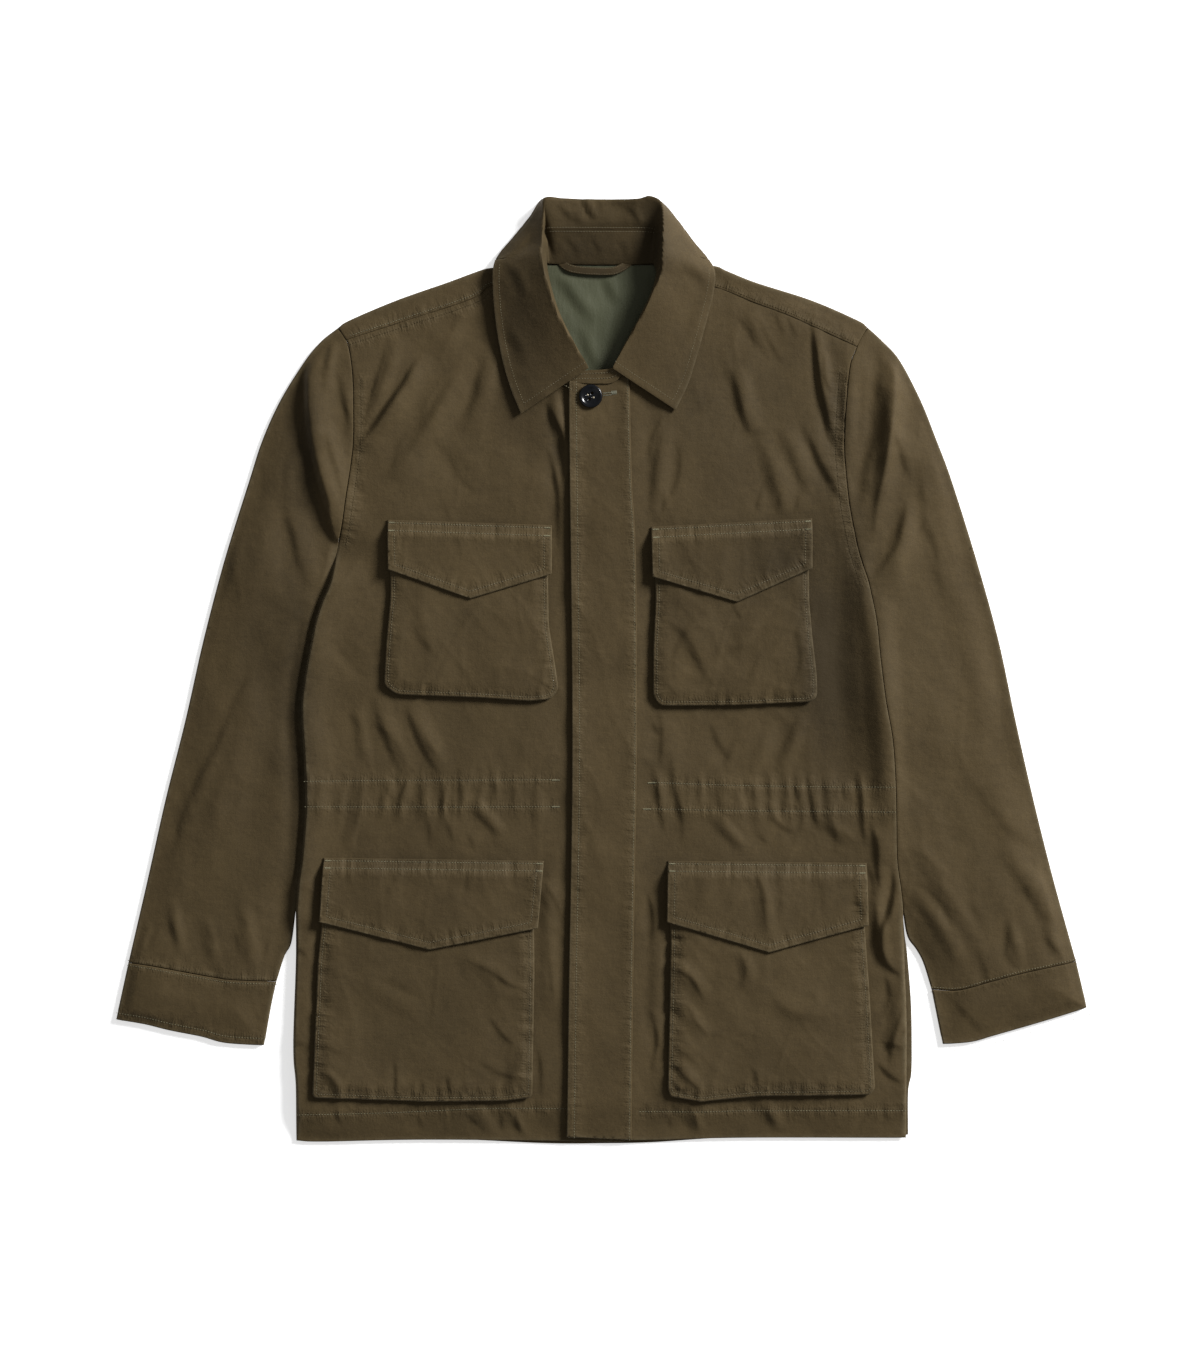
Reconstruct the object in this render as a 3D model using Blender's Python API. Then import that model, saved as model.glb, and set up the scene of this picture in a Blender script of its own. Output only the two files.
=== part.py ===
"""A field jacket laid flat on its back, face up.

X runs across the jacket with the wearer's left at +X, Y runs from the hem up to the
collar, and Z is the height above the surface that the jacket lies on. All the tables
are in millimetres. The origin is below the middle of the whole garment.
"""

import math

import bmesh
import bpy
from mathutils import Vector
from mathutils.geometry import delaunay_2d_cdt

MM = 0.001

# Cloth
WALL = 1.4  # shell cloth with its lining
GAP = 0.3  # air between two pieces that touch
SEAM = 0.2  # each piece stops this far short of a seam line
SIDE_HEIGHT = WALL + GAP  # underside of the top layer along a folded edge
PUFF = 5.2  # underside of the top layer in the open
PUFF_REACH = 34.0  # distance from a folded edge over which it rises
FOLD_FADE = 12.0  # folds die out over this distance from a folded edge
STEEPEST = 1.5  # the wall is never drawn out more than this on a slope

# Mesh
OUTLINE_STEP = 21.0
OPEN_STEP = 24.0  # between points where the cloth is plain
FOLD_STEP = 20.0  # between points along a fold
LEAST_SPACE = 6.0

# Pockets, flaps and placket
BAG_RISE = 3.6  # a bellows pocket stands this far off the front
BAG_RAMP = 5.0  # width of the gusset that lifts it
FLAP_RAMP = 12.0  # length over which a flap climbs from its seam onto the bag
OVERLAP_X = 20.0  # the right front ends here, under the left front
OVERLAP_FADE = 26.0

# Collar
COLLAR_WALL = 1.8
STAND_WALL = 1.8
ROLL_RADIUS = 3.2
LEAST_UNDER = 2.5  # cloth that turns under by less than this is drawn as a plain edge
SECTION_POINTS = 13

# Button
BUTTON_AT = (-9.4, 238.6)
BUTTON_RADIUS = 10.2
BUTTON_THICK = 3.0
HOLE_RADIUS = 1.1
HOLE_OFFSET = 2.5

# ---------------------------------------------------------------- seams and edges

SIDE_RIGHT = (
    (-229.7, 109.6), (-236.0, 79.0), (-243.0, 62.0), (-249.0, 44.0), (-252.5, 27.0),
    (-259.0, -8.0), (-261.4, -34.0), (-259.0, -77.0), (-258.0, -118.0),
    (-261.0, -160.0), (-264.0, -182.0), (-266.0, -206.0),
)
SIDE_RIGHT_LOW = (
    (-266.0, -206.0), (-266.0, -251.0), (-268.0, -310.0), (-268.0, -338.0),
    (-266.0, -362.0), (-265.8, -409.0),
)
SIDE_LEFT = (
    (231.9, 78.3), (238.8, 44.4), (242.3, 9.6), (246.6, -25.2), (252.7, -60.0),
    (255.3, -94.8), (256.2, -129.6), (257.1, -164.4), (260.6, -190.5), (262.3, -209.0),
)
SIDE_LEFT_FRONT = ((262.3, -209.0), (264.0, -261.0), (265.6, -309.3), (265.2, -406.6))
SIDE_LEFT_BACK = (
    (262.3, -209.0), (264.2, -231.0), (266.2, -245.0), (269.6, -286.8),
    (270.4, -325.0), (270.0, -351.0), (267.3, -366.0), (267.2, -404.0),
)
ARMHOLE_RIGHT = (
    (-229.4, 298.8), (-222.3, 288.8), (-218.3, 273.2), (-216.2, 251.4),
    (-215.8, 225.3), (-216.2, 198.4), (-218.8, 175.7), (-222.3, 152.3),
    (-225.8, 127.5), (-229.7, 109.6),
)
ARMHOLE_LEFT = (
    (231.7, 299.3), (224.7, 288.0), (221.2, 279.3), (216.2, 265.4), (213.2, 236.2),
    (211.6, 210.0), (211.4, 190.0), (213.9, 160.1), (216.8, 138.3), (222.5, 109.6),
    (226.5, 95.0), (231.9, 78.3),
)
SHOULDER_RIGHT = (
    (-52.0, 356.6), (-93.5, 351.5), (-105.7, 348.9), (-134.4, 338.4),
    (-178.8, 322.8), (-219.7, 305.4), (-229.4, 298.8),
)
SHOULDER_LEFT = (
    (49.0, 356.8), (96.1, 353.2), (108.3, 348.9), (134.4, 338.4),
    (183.1, 322.8), (223.2, 305.4), (231.7, 299.3),
)
FORWARD_RIGHT = (
    (-52.6, 344.5), (-95.3, 336.7), (-114.4, 324.2), (-182.3, 301.9), (-222.3, 288.8),
)
FORWARD_LEFT = (
    (51.0, 344.5), (98.7, 335.0), (134.4, 321.0), (161.8, 310.6), (181.4, 301.9),
    (222.6, 283.0),
)
NECK_BACK = ((49.0, 356.8), (33.5, 356.6), (0.0, 356.2), (-35.6, 356.6), (-52.0, 356.6))
NECK_RIGHT = (
    (20.0, 246.5), (-14.0, 246.5), (-24.0, 253.2), (-34.4, 282.8), (-43.0, 307.1),
    (-49.2, 329.7), (-52.6, 344.5),
)
NECK_LEFT = (
    (51.0, 344.5), (43.9, 322.8), (37.0, 301.0), (26.5, 277.5), (14.4, 255.1),
    (9.1, 251.6), (-0.9, 249.7), (-12.6, 249.9), (-26.5, 251.4),
)
HEM_RIGHT = ((-265.8, -409.0), (-242.6, -409.9), (-146.6, -408.2), (20.0, -410.0))
HEM_LEFT = ((-30.3, -405.4), (0.0, -405.8), (33.5, -408.6), (122.2, -406.5), (265.2, -406.6))
HEM_BACK = (
    (-265.8, -409.0), (-146.6, -407.5), (-50.0, -411.4), (0.0, -411.5), (44.0, -410.6),
    (122.2, -406.0), (267.2, -404.0),
)
OVERLAP_EDGE = ((20.0, -410.0), (20.0, 246.5))
FRONT_EDGE = ((-26.5, 251.4), (-28.5, 234.0), (-25.7, -60.0), (-28.6, -269.7), (-30.3, -405.4))
PLACKET_SEAM = (
    (26.2, -408.0), (27.3, -293.2), (29.1, -176.6), (30.9, -60.0), (30.0, 96.6),
    (26.5, 166.2), (24.8, 240.1), (24.8, 268.0),
)

SLEEVE_OUT_RIGHT = (
    (-229.4, 298.8), (-243.2, 288.0), (-258.0, 270.6), (-279.7, 235.8), (-295.4, 201.0),
    (-306.7, 166.2), (-328.4, 96.6), (-346.7, 27.0), (-362.4, -42.6), (-379.8, -112.2),
    (-395.4, -181.8), (-412.1, -254.0),
)
SLEEVE_OUT_LEFT = (
    (231.7, 299.3), (244.0, 288.0), (259.7, 270.6), (278.0, 235.8), (291.9, 201.0),
    (304.9, 166.2), (326.7, 96.6), (345.8, 27.0), (360.6, -42.6), (376.3, -112.2),
    (393.7, -181.8), (413.4, -253.0),
)
SLEEVE_IN_RIGHT = ((-266.0, -206.0), (-270.1, -236.2), (-276.3, -248.6), (-283.2, -270.6))
SLEEVE_IN_LEFT = ((262.3, -209.0), (266.4, -231.0), (274.1, -242.4), (280.4, -254.5), (287.5, -277.5))
CUFF_SEAM_RIGHT = (
    (-412.1, -254.0), (-387.6, -257.5), (-347.7, -265.0), (-322.7, -268.8), (-283.2, -270.6),
)
CUFF_SEAM_LEFT = (
    (413.4, -253.0), (367.0, -263.0), (337.1, -271.0), (311.0, -278.0), (287.5, -277.5),
)
CUFF_OUT_RIGHT = ((-412.1, -254.0), (-422.9, -303.5))
CUFF_OUT_LEFT = ((413.4, -253.0), (422.9, -293.2))
CUFF_IN_RIGHT = ((-283.2, -270.6), (-287.8, -292.0), (-293.8, -326.2))
CUFF_IN_LEFT = ((287.5, -277.5), (297.1, -325.1))
CUFF_END_RIGHT = (
    (-422.9, -303.5), (-398.6, -307.5), (-376.0, -313.0), (-348.7, -318.4),
    (-327.7, -323.9), (-293.8, -326.2),
)
CUFF_END_LEFT = (
    (422.9, -293.2), (387.0, -304.4), (342.0, -317.5), (322.1, -323.0), (297.1, -325.1),
)

LINING = (
    (-50.4, 352.4), (-50.6, 344.6), (-56.0, 331.0), (-54.0, 308.0), (-46.0, 280.0),
    (-34.0, 252.0), (-16.0, 238.0), (14.0, 240.0), (30.0, 258.0), (40.0, 282.0),
    (50.0, 308.0), (55.0, 329.0), (48.9, 343.6), (47.6, 352.4), (43.0, 353.4),
    (20.0, 353.2), (0.0, 353.2), (-25.0, 353.2), (-45.0, 353.4),
)

# Pockets: flap corners are top inner/outer, lower, point, lower; bags run anticlockwise.
POCKETS = {
    "chest_right": {
        "flap": ((-186.2, 131.7), (-185.6, 87.9), (-114.0, 62.6), (-43.2, 84.0), (-43.2, 127.0)),
        "bag": (
            (-183.2, 116.0), (-183.6, 62.0), (-187.0, 27.0), (-189.2, -12.2), (-178.2, -20.6),
            (-103.7, -23.5), (-61.0, -26.4), (-44.0, -24.5), (-37.1, -16.1), (-40.2, 4.7),
            (-45.7, 39.2), (-46.4, 75.7), (-46.2, 111.0),
        ),
    },
    "chest_left": {
        "flap": ((43.0, 125.5), (44.1, 81.6), (117.5, 59.7), (183.2, 89.0), (183.2, 132.9)),
        "bag": (
            (46.4, 110.0), (46.8, 60.0), (44.8, 20.0), (44.8, -22.1), (50.9, -30.5),
            (116.1, -30.0), (182.3, -27.0), (187.7, -22.1), (187.1, -3.8), (183.5, 26.7),
            (180.4, 62.0), (180.2, 117.0),
        ),
    },
    "hip_right": {
        "flap": ((-241.7, -162.3), (-245.3, -218.2), (-149.4, -242.2), (-55.2, -223.6), (-50.0, -165.0)),
        "bag": (
            (-239.0, -178.0), (-242.6, -216.0), (-246.5, -250.0), (-251.0, -365.0),
            (-247.0, -370.5), (-155.6, -374.4), (-84.8, -373.6), (-63.0, -370.0),
            (-59.7, -364.0), (-58.2, -260.0), (-58.6, -222.0), (-53.6, -181.0),
        ),
    },
    "hip_left": {
        "flap": ((57.5, -165.0), (56.6, -218.2), (145.4, -244.5), (232.0, -220.9), (230.6, -166.8)),
        "bag": (
            (60.3, -181.0), (59.6, -217.0), (60.1, -236.0), (57.5, -364.0), (60.0, -370.0),
            (86.6, -374.4), (136.5, -369.6), (233.0, -368.3), (237.7, -363.0),
            (233.0, -280.0), (229.0, -224.0), (227.6, -183.0),
        ),
    },
}

# ---------------------------------------------------------------- folds

# A fold runs from its start to its end, bowed sideways by bend, left of its travel
# being positive. Its crest is rise high, or deep if negative. Its flanks are reach
# wide, and lean takes width from the left flank and gives it to the right one.
FOLD_COLUMNS = ("x0", "y0", "x1", "y1", "bend", "reach", "rise", "lean")
FOLD_ROWS = (
    # wearer's right front, chest
    (-178, 290, -203, 214, 2, 8, 3.0, -0.3),
    (-153, 276, -213, 190, 3, 11, 6.0, -0.4),
    (-116, 274, -182, 166, 4, 15, 6.5, -0.3),
    (-96, 282, -116, 206, 2, 13, 4.0, -0.2),
    (-42, 246, -35, 196, 0, 8, 5.0, 0.0),
    (-150, 200, -92, 145, 0, 16, -2.0, 0.0),
    (-232, 30, -205, -6, 0, 13, -2.0, 0.0),
    (-196, -20, -168, -92, -3, 11, 4.5, -0.3),
    (-168, -26, -134, -94, -4, 12, 5.5, -0.4),
    (-213, -28, -204, -84, 0, 9, 3.0, 0.0),
    (-206, -92, -220, -158, 0, 8, 3.5, 0.3),
    (-112, -112, -84, -144, 0, 9, 4.0, 0.0),
    (-41, -150, -44, -300, -4, 10, 3.0, 0.0),
    (-56, -180, -36, -216, 0, 9, 3.0, 0.0),
    (-212, -262, -152, -296, -3, 15, 2.5, 0.0),
    (-124, -246, -70, -286, 3, 13, 3.0, 0.0),
    (-250, -316, -222, -330, 0, 8, 2.5, 0.0),
    (-248, -345, -226, -372, 5, 8, 3.0, 0.0),
    (-84, -364, -62, -326, 0, 10, 3.0, 0.0),
    (-112, -372, -92, -408, 0, 9, 2.5, 0.0),
    (-82, -374, -66, -408, 0, 7, 3.0, 0.0),
    # wearer's left front, chest
    (186, 304, 208, 192, -4, 9, 7.0, -0.4),
    (117, 266, 132, 204, -2, 12, 6.0, -0.4),
    (138, 200, 160, 138, 2, 11, 4.0, -0.3),
    (160, 210, 182, 158, 1, 9, 4.0, -0.3),
    (182, 214, 213, 156, -3, 10, 5.0, -0.3),
    (58, 216, 48, 128, -3, 11, 5.0, -0.2),
    (128, 318, 152, 270, -3, 10, 3.0, -0.2),
    (205, 60, 208, -52, 0, 18, -2.5, 0.0),
    (222, 104, 232, 14, 0, 18, 5.0, 0.3),
    (231, 26, 243, -86, 0, 17, 5.5, 0.3),
    (176, -38, 156, -92, 0, 10, 3.5, 0.0),
    (150, -44, 132, -90, 0, 10, 2.5, 0.0),
    (94, -122, 128, -158, 0, 9, 4.0, 0.0),
    (186, -122, 220, -152, 0, 9, 3.5, 0.0),
    (47, -196, 44, -340, 3, 10, 3.0, 0.0),
    (246, -170, 248, -262, -6, 10, 5.0, 0.0),
    (264, -262, 250, -336, 0, 9, 4.0, 0.0),
    (134, -170, 146, -236, 0, 11, 3.0, 0.0),
    (58, -252, 96, -292, 3, 12, 4.0, 0.0),
    (56, -284, 92, -322, 4, 11, 3.5, 0.0),
    (118, -242, 126, -280, 5, 10, 3.0, 0.0),
    (60, -334, 88, -368, 0, 9, 2.5, 0.0),
    (132, -276, 204, -306, -4, 16, 2.0, 0.0),
    (58, -368, 88, -410, 4, 10, 4.0, 0.0),
    (142, -372, 158, -406, 0, 9, 2.5, 0.0),
    # right sleeve
    (-257, 276, -255, 196, 0, 16, 7.5, -0.6),
    (-256, 206, -231, 112, -2, 16, 8.5, -0.6),
    (-232, 288, -238, 240, -2, 7, 3.0, 0.0),
    (-225, 262, -219, 200, 2, 6, 2.5, 0.0),
    (-268, 142, -250, 70, -3, 14, 4.0, -0.3),
    (-284, 190, -292, 60, -5, 20, 3.0, 0.0),
    (-297, 2, -352, -166, 5, 22, 5.0, -0.3),
    (-280, -20, -284, -170, 0, 16, 3.0, 0.0),
    (-374, -196, -366, -246, 0, 8, 3.5, 0.0),
    (-392, -218, -404, -250, 0, 7, 3.0, 0.0),
    (-345, -212, -334, -262, 0, 9, 3.0, 0.0),
    (-312, -200, -300, -264, 0, 10, 3.0, 0.0),
    # left sleeve
    (255, 280, 237, 122, 3, 13, 8.0, -0.3),
    (236, 284, 222, 150, 6, 10, -3.0, 0.0),
    (262, 142, 234, 80, -5, 13, -3.5, 0.0),
    (274, 150, 254, 62, -4, 13, 4.0, 0.0),
    (278, 226, 296, 80, 4, 18, 3.0, 0.0),
    (318, 90, 338, -60, 3, 22, 3.5, 0.0),
    (290, 10, 300, -110, 0, 20, 3.0, 0.0),
    (270, -150, 334, -250, 4, 13, 5.0, 0.0),
    (264, -184, 314, -256, 4, 11, 4.0, 0.0),
    (350, -150, 400, -232, 4, 15, 4.5, 0.0),
    (354, -214, 366, -258, 0, 8, 3.5, 0.0),
    (386, -216, 398, -250, 0, 8, 3.0, 0.0),
)

# The waist cord draws the fronts into short upright gathers: place, rise and slant.
GATHER_COLUMNS = ("x", "rise", "slant")
GATHER_ROWS = (
    (-244, 2.0, 2), (-226, 2.0, -3), (-188, 3.0, -4), (-172, 3.5, -5), (-153, 3.0, 2),
    (-137, 3.5, 2), (-120, 3.5, -2), (-92, 2.5, 3), (-74, 2.0, 3), (-55, 3.5, -2),
    (50, 4.0, 3), (68, 2.5, 2), (86, 3.5, 4), (104, 4.0, 3), (120, 3.0, 2), (134, 3.0, 3),
    (148, 3.5, 3), (162, 3.0, 2), (174, 3.5, 4), (187, 4.0, 2), (200, 3.5, 3),
    (213, 3.0, 3), (227, 4.5, 1),
)
GATHER_TOP = -78.0
GATHER_BOTTOM = -144.0
GATHER_REACH = 6.5

FOLDS = [dict(zip(FOLD_COLUMNS, row)) for row in FOLD_ROWS]
for gather in (dict(zip(GATHER_COLUMNS, row)) for row in GATHER_ROWS):
    FOLDS.append({
        "x0": gather["x"] - gather["slant"], "y0": GATHER_TOP,
        "x1": gather["x"] + gather["slant"], "y1": GATHER_BOTTOM,
        "bend": 0.0, "reach": GATHER_REACH, "rise": gather["rise"], "lean": 0.0,
    })

# ---------------------------------------------------------------- collar sections

# One row for each section, from the wearer's right leaf round the back to the left
# leaf: crest of the fold, outer edge, how far the cloth then turns under, seam between
# fall and stand, and neck seam.
COLLAR_COLUMNS = (
    "fold_x", "fold_y", "fold_z", "edge_x", "edge_y", "edge_z", "under",
    "seam_x", "seam_y", "seam_z", "neck_x", "neck_y", "neck_z",
)
COLLAR_ROWS = (
    (-11.3, 262.7, 16.4, -70.0, 223.6, 10.5, 0, -15.0, 264.5, 13.4, -26.0, 260.0, 8.3),
    (-23.9, 283.2, 19.0, -79.6, 248.0, 10.5, 0, -24.5, 285.0, 14.0, -35.6, 281.5, 8.3),
    (-37.0, 306.2, 22.0, -87.0, 274.9, 12.0, 0, -35.5, 307.5, 15.5, -44.4, 305.5, 8.3),
    (-44.5, 326.6, 23.0, -91.8, 303.6, 15.0, 0, -42.5, 327.5, 15.5, -50.4, 326.0, 8.2),
    (-50.0, 347.1, 22.5, -94.0, 329.7, 15.5, 0, -47.0, 347.0, 15.0, -53.4, 344.6, 7.4),
    (-52.6, 361.1, 21.0, -93.8, 350.6, 12.0, 0, -48.5, 362.0, 13.0, -50.4, 354.6, 6.0),
    (-51.8, 372.4, 19.0, -88.3, 363.2, 5.5, 5, -47.5, 372.5, 10.5, -46.4, 355.2, 3.6),
    (-49.6, 384.5, 17.0, -77.0, 376.7, 4.6, 9, -44.5, 380.0, 8.4, -42.5, 354.9, 3.2),
    (-48.0, 397.6, 14.0, -63.1, 393.7, 4.6, 12, -41.0, 382.8, 7.2, -38.0, 354.7, 3.2),
    (-43.5, 407.6, 11.0, -49.4, 409.0, 4.6, 14, -35.0, 383.4, 6.6, -32.0, 354.5, 3.2),
    (-33.0, 409.0, 9.0, -34.0, 410.4, 4.8, 16, -27.0, 383.5, 6.4, -25.0, 354.3, 3.2),
    (-1.3, 408.4, 8.6, -1.3, 409.3, 4.8, 17, -1.3, 383.4, 6.4, -1.3, 354.0, 3.2),
    (31.0, 409.0, 9.0, 32.0, 410.2, 4.8, 16, 27.5, 383.3, 6.4, 26.5, 354.3, 3.2),
    (45.0, 407.4, 11.0, 51.0, 408.0, 4.6, 14, 38.0, 383.0, 6.8, 34.5, 354.6, 3.2),
    (57.0, 398.4, 14.0, 67.0, 390.2, 4.6, 12, 45.5, 381.8, 7.6, 40.5, 354.8, 3.2),
    (59.6, 384.5, 17.0, 80.0, 373.4, 4.6, 9, 49.5, 377.5, 9.0, 44.0, 355.0, 3.3),
    (60.0, 371.0, 19.0, 91.4, 359.6, 6.0, 3, 50.8, 369.5, 11.0, 46.8, 355.2, 3.8),
    (60.3, 357.6, 21.0, 98.3, 346.5, 13.5, 0, 51.0, 358.0, 13.5, 50.0, 352.6, 6.2),
    (56.5, 346.6, 22.0, 97.3, 329.0, 14.0, 0, 49.5, 346.5, 15.0, 51.2, 342.6, 8.2),
    (46.5, 331.0, 22.0, 91.8, 306.2, 12.5, 0, 44.5, 331.0, 15.5, 47.2, 326.4, 8.3),
    (35.0, 307.4, 20.0, 83.5, 275.8, 11.5, 0, 34.6, 309.5, 14.0, 39.8, 303.8, 9.2),
    (22.2, 284.5, 17.5, 75.3, 249.7, 11.0, 0, 22.4, 287.0, 13.6, 29.8, 280.2, 11.0),
    (10.0, 262.4, 16.2, 64.4, 226.6, 11.0, 0, 11.4, 265.8, 13.2, 17.8, 257.6, 12.0),
)
COLLAR = [dict(zip(COLLAR_COLUMNS, row)) for row in COLLAR_ROWS]
# The left end of the stand lies flat over the neck seam and reaches the front edge.
STAND_END_COLUMNS = ("seam_x", "seam_y", "seam_z", "neck_x", "neck_y", "neck_z")
STAND_END_ROWS = (
    (8.0, 262.8, 12.9, 9.4, 250.4, 12.0),
    (-1.3, 261.6, 12.4, -1.3, 249.6, 12.0),
    (-12.0, 261.2, 12.1, -12.6, 249.8, 11.9),
    (-24.0, 259.0, 11.6, -28.0, 251.0, 11.6),
)
STAND_END = [dict(zip(STAND_END_COLUMNS, row)) for row in STAND_END_ROWS]
FIRST_STAND = 2  # the right end of the stand starts at this section, clear of the left end

# The hanger loop's middle line
LOOP_COLUMNS = ("x", "y", "z")
LOOP_ROWS = (
    (-34.5, 353.2, 5.4), (-29.5, 348.2, 5.5), (-18.0, 345.2, 5.6), (-6.0, 343.9, 5.6),
    (6.0, 343.7, 5.6), (14.0, 344.8, 5.6), (20.0, 348.6, 5.5), (25.0, 352.8, 5.4),
)
LOOP_HALF_WIDTH = 2.8

# ---------------------------------------------------------------- lines


def smooth(t):
    t = min(max(t, 0.0), 1.0)
    return t * t * (3.0 - 2.0 * t)


def through(points, fraction):
    """A point on the smooth curve through these points, fraction of the way along."""
    place = fraction * (len(points) - 1)
    i = min(int(place), len(points) - 2)
    t = place - i
    b, c = Vector(points[i]), Vector(points[i + 1])
    a = Vector(points[i - 1]) if i > 0 else b * 2 - c
    d = Vector(points[i + 2]) if i + 2 < len(points) else c * 2 - b
    return 0.5 * (2 * b + (c - a) * t + (2 * a - 5 * b + 4 * c - d) * t * t
                  + (3 * b - a - 3 * c + d) * t * t * t)


def length_of(points):
    return sum((Vector(b) - Vector(a)).length for a, b in zip(points, points[1:]))


def even(points, count):
    """The polyline resampled to count points, evenly by length, with its ends kept."""
    points = [Vector(p) for p in points]
    total = length_of(points)
    result, walked, i = [points[0]], 0.0, 0
    for k in range(1, count - 1):
        target = total * k / (count - 1)
        while walked + (points[i + 1] - points[i]).length < target:
            walked += (points[i + 1] - points[i]).length
            i += 1
        step = (points[i + 1] - points[i]).length
        result.append(points[i].lerp(points[i + 1], (target - walked) / step))
    return result + [points[-1]]


def curve(points, count=0, step=OUTLINE_STEP):
    """A smooth seam line through control points, at even spacing."""
    fine = [through(points, k / (12 * (len(points) - 1))) for k in range(12 * (len(points) - 1) + 1)]
    return even(fine, count or max(3, round(length_of(fine) / step) + 1))


def corners(points, step=OUTLINE_STEP):
    """Straight runs between corners, with points added along the long ones."""
    result = []
    for a, b in zip(points, points[1:]):
        a, b = Vector(a), Vector(b)
        pieces = max(1, round((b - a).length / step))
        result += [a.lerp(b, k / pieces) for k in range(pieces)]
    return result + [Vector(points[-1])]


def joined(*runs):
    """Runs that follow each other, as one closed outline."""
    outline = []
    for run in runs:
        outline += list(run)[:-1]
    return outline


def back_along(points):
    return list(reversed(points))


def inset(outline, by):
    """The closed anticlockwise outline moved inwards, its corners mitred."""
    result = []
    for k, point in enumerate(outline):
        before = (point - outline[k - 1]).normalized()
        after = (outline[(k + 1) % len(outline)] - point).normalized()
        inward = Vector((-before.y - after.y, before.x + after.x))
        miter = max(inward.length / 2, 0.5)
        result.append(point + inward.normalized() * by / miter)
    return result


def inside(x, y, outline):
    hit = False
    for k, b in enumerate(outline):
        a = outline[k - 1]
        if (a[1] > y) != (b[1] > y) and x < (b[0] - a[0]) * (y - a[1]) / (b[1] - a[1]) + a[0]:
            hit = not hit
    return hit


def distance_to(x, y, lines):
    best = 1e9
    for line in lines:
        for a, b in zip(line, line[1:]):
            dx, dy = b[0] - a[0], b[1] - a[1]
            t = ((x - a[0]) * dx + (y - a[1]) * dy) / (dx * dx + dy * dy)
            t = min(max(t, 0.0), 1.0)
            best = min(best, math.hypot(x - a[0] - t * dx, y - a[1] - t * dy))
    return best


# ---------------------------------------------------------------- height of the cloth

FOLDED_EDGES = [curve(points) for points in (
    SIDE_RIGHT, SIDE_RIGHT_LOW, SIDE_LEFT, SIDE_LEFT_FRONT, SHOULDER_RIGHT, SHOULDER_LEFT,
    HEM_RIGHT, HEM_LEFT, SLEEVE_OUT_RIGHT, SLEEVE_OUT_LEFT, SLEEVE_IN_RIGHT, SLEEVE_IN_LEFT,
    CUFF_OUT_RIGHT, CUFF_OUT_LEFT, CUFF_IN_RIGHT, CUFF_IN_LEFT, CUFF_END_RIGHT, CUFF_END_LEFT,
)]


def fold_lift(fold, x, y):
    """How far one fold lifts the cloth at a place."""
    dx, dy = fold["x1"] - fold["x0"], fold["y1"] - fold["y0"]
    length = math.hypot(dx, dy)
    along = ((x - fold["x0"]) * dx + (y - fold["y0"]) * dy) / length ** 2
    if not 0.0 < along < 1.0:
        return 0.0
    left = ((y - fold["y0"]) * dx - (x - fold["x0"]) * dy) / length
    left -= fold["bend"] * 4 * along * (1 - along)
    reach = fold["reach"] * (1 - fold["lean"] if left > 0 else 1 + fold["lean"])
    if abs(left) >= reach:
        return 0.0
    across = 0.5 + 0.5 * math.cos(math.pi * left / reach)
    return fold["rise"] * across * math.sin(math.pi * along) ** 0.6


def height(x, y):
    """Underside of the top layer of cloth."""
    clear = distance_to(x, y, FOLDED_EDGES)
    plain = SIDE_HEIGHT + (PUFF - SIDE_HEIGHT) * smooth(clear / PUFF_REACH)
    lift = sum(fold_lift(fold, x, y) for fold in FOLDS) * smooth(clear / FOLD_FADE)
    return max(plain + lift, SIDE_HEIGHT)


def wall_at(x, y):
    """Height of the wall, drawn out on a slope so that it keeps its thickness."""
    reach = 2.0
    slope_x = (height(x + reach, y) - height(x - reach, y)) / (2 * reach)
    slope_y = (height(x, y + reach) - height(x, y - reach)) / (2 * reach)
    return WALL * min(math.sqrt(1 + slope_x ** 2 + slope_y ** 2), STEEPEST)


def fold_points():
    """Points on the crest and both flanks of every fold."""
    found = []
    for fold in FOLDS:
        dx, dy = fold["x1"] - fold["x0"], fold["y1"] - fold["y0"]
        length = math.hypot(dx, dy)
        pieces = max(3, round(length / FOLD_STEP))
        for k in range(pieces):
            along = (k + 0.5) / pieces
            bow = fold["bend"] * 4 * along * (1 - along)
            for part in (0.0, 0.72, -0.72):
                lean = 1 - fold["lean"] if part > 0 else 1 + fold["lean"]
                left = bow + part * fold["reach"] * lean
                found.append((part != 0.0, (
                    fold["x0"] + dx * along - dy / length * left,
                    fold["y0"] + dy * along + dx / length * left,
                )))
    return [place for _, place in sorted(found, key=lambda item: item[0])]


def grid_points(low, high):
    """A staggered grid over the box."""
    found, row, y = [], 0, low[1]
    while y < high[1]:
        x = low[0] + (OPEN_STEP / 2 if row % 2 else 0.0)
        while x < high[0]:
            found.append((x, y))
            x += OPEN_STEP
        y += OPEN_STEP * 0.87
        row += 1
    return found


def spread(outline, taken, clear_of):
    """Fold and grid points inside an outline, none crowded."""
    xs, ys = [p[0] for p in outline], [p[1] for p in outline]
    kept = list(taken)
    fresh = []
    grid = grid_points((min(xs), min(ys)), (max(xs), max(ys)))
    for space, places in ((LEAST_SPACE, fold_points()), (OPEN_STEP * 0.55, grid)):
        for x, y in places:
            if not inside(x, y, outline) or distance_to(x, y, clear_of) < LEAST_SPACE * 0.8:
                continue
            if all((x - a) ** 2 + (y - b) ** 2 > space ** 2 for a, b in kept):
                kept.append((x, y))
                fresh.append((x, y))
    return fresh


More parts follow.
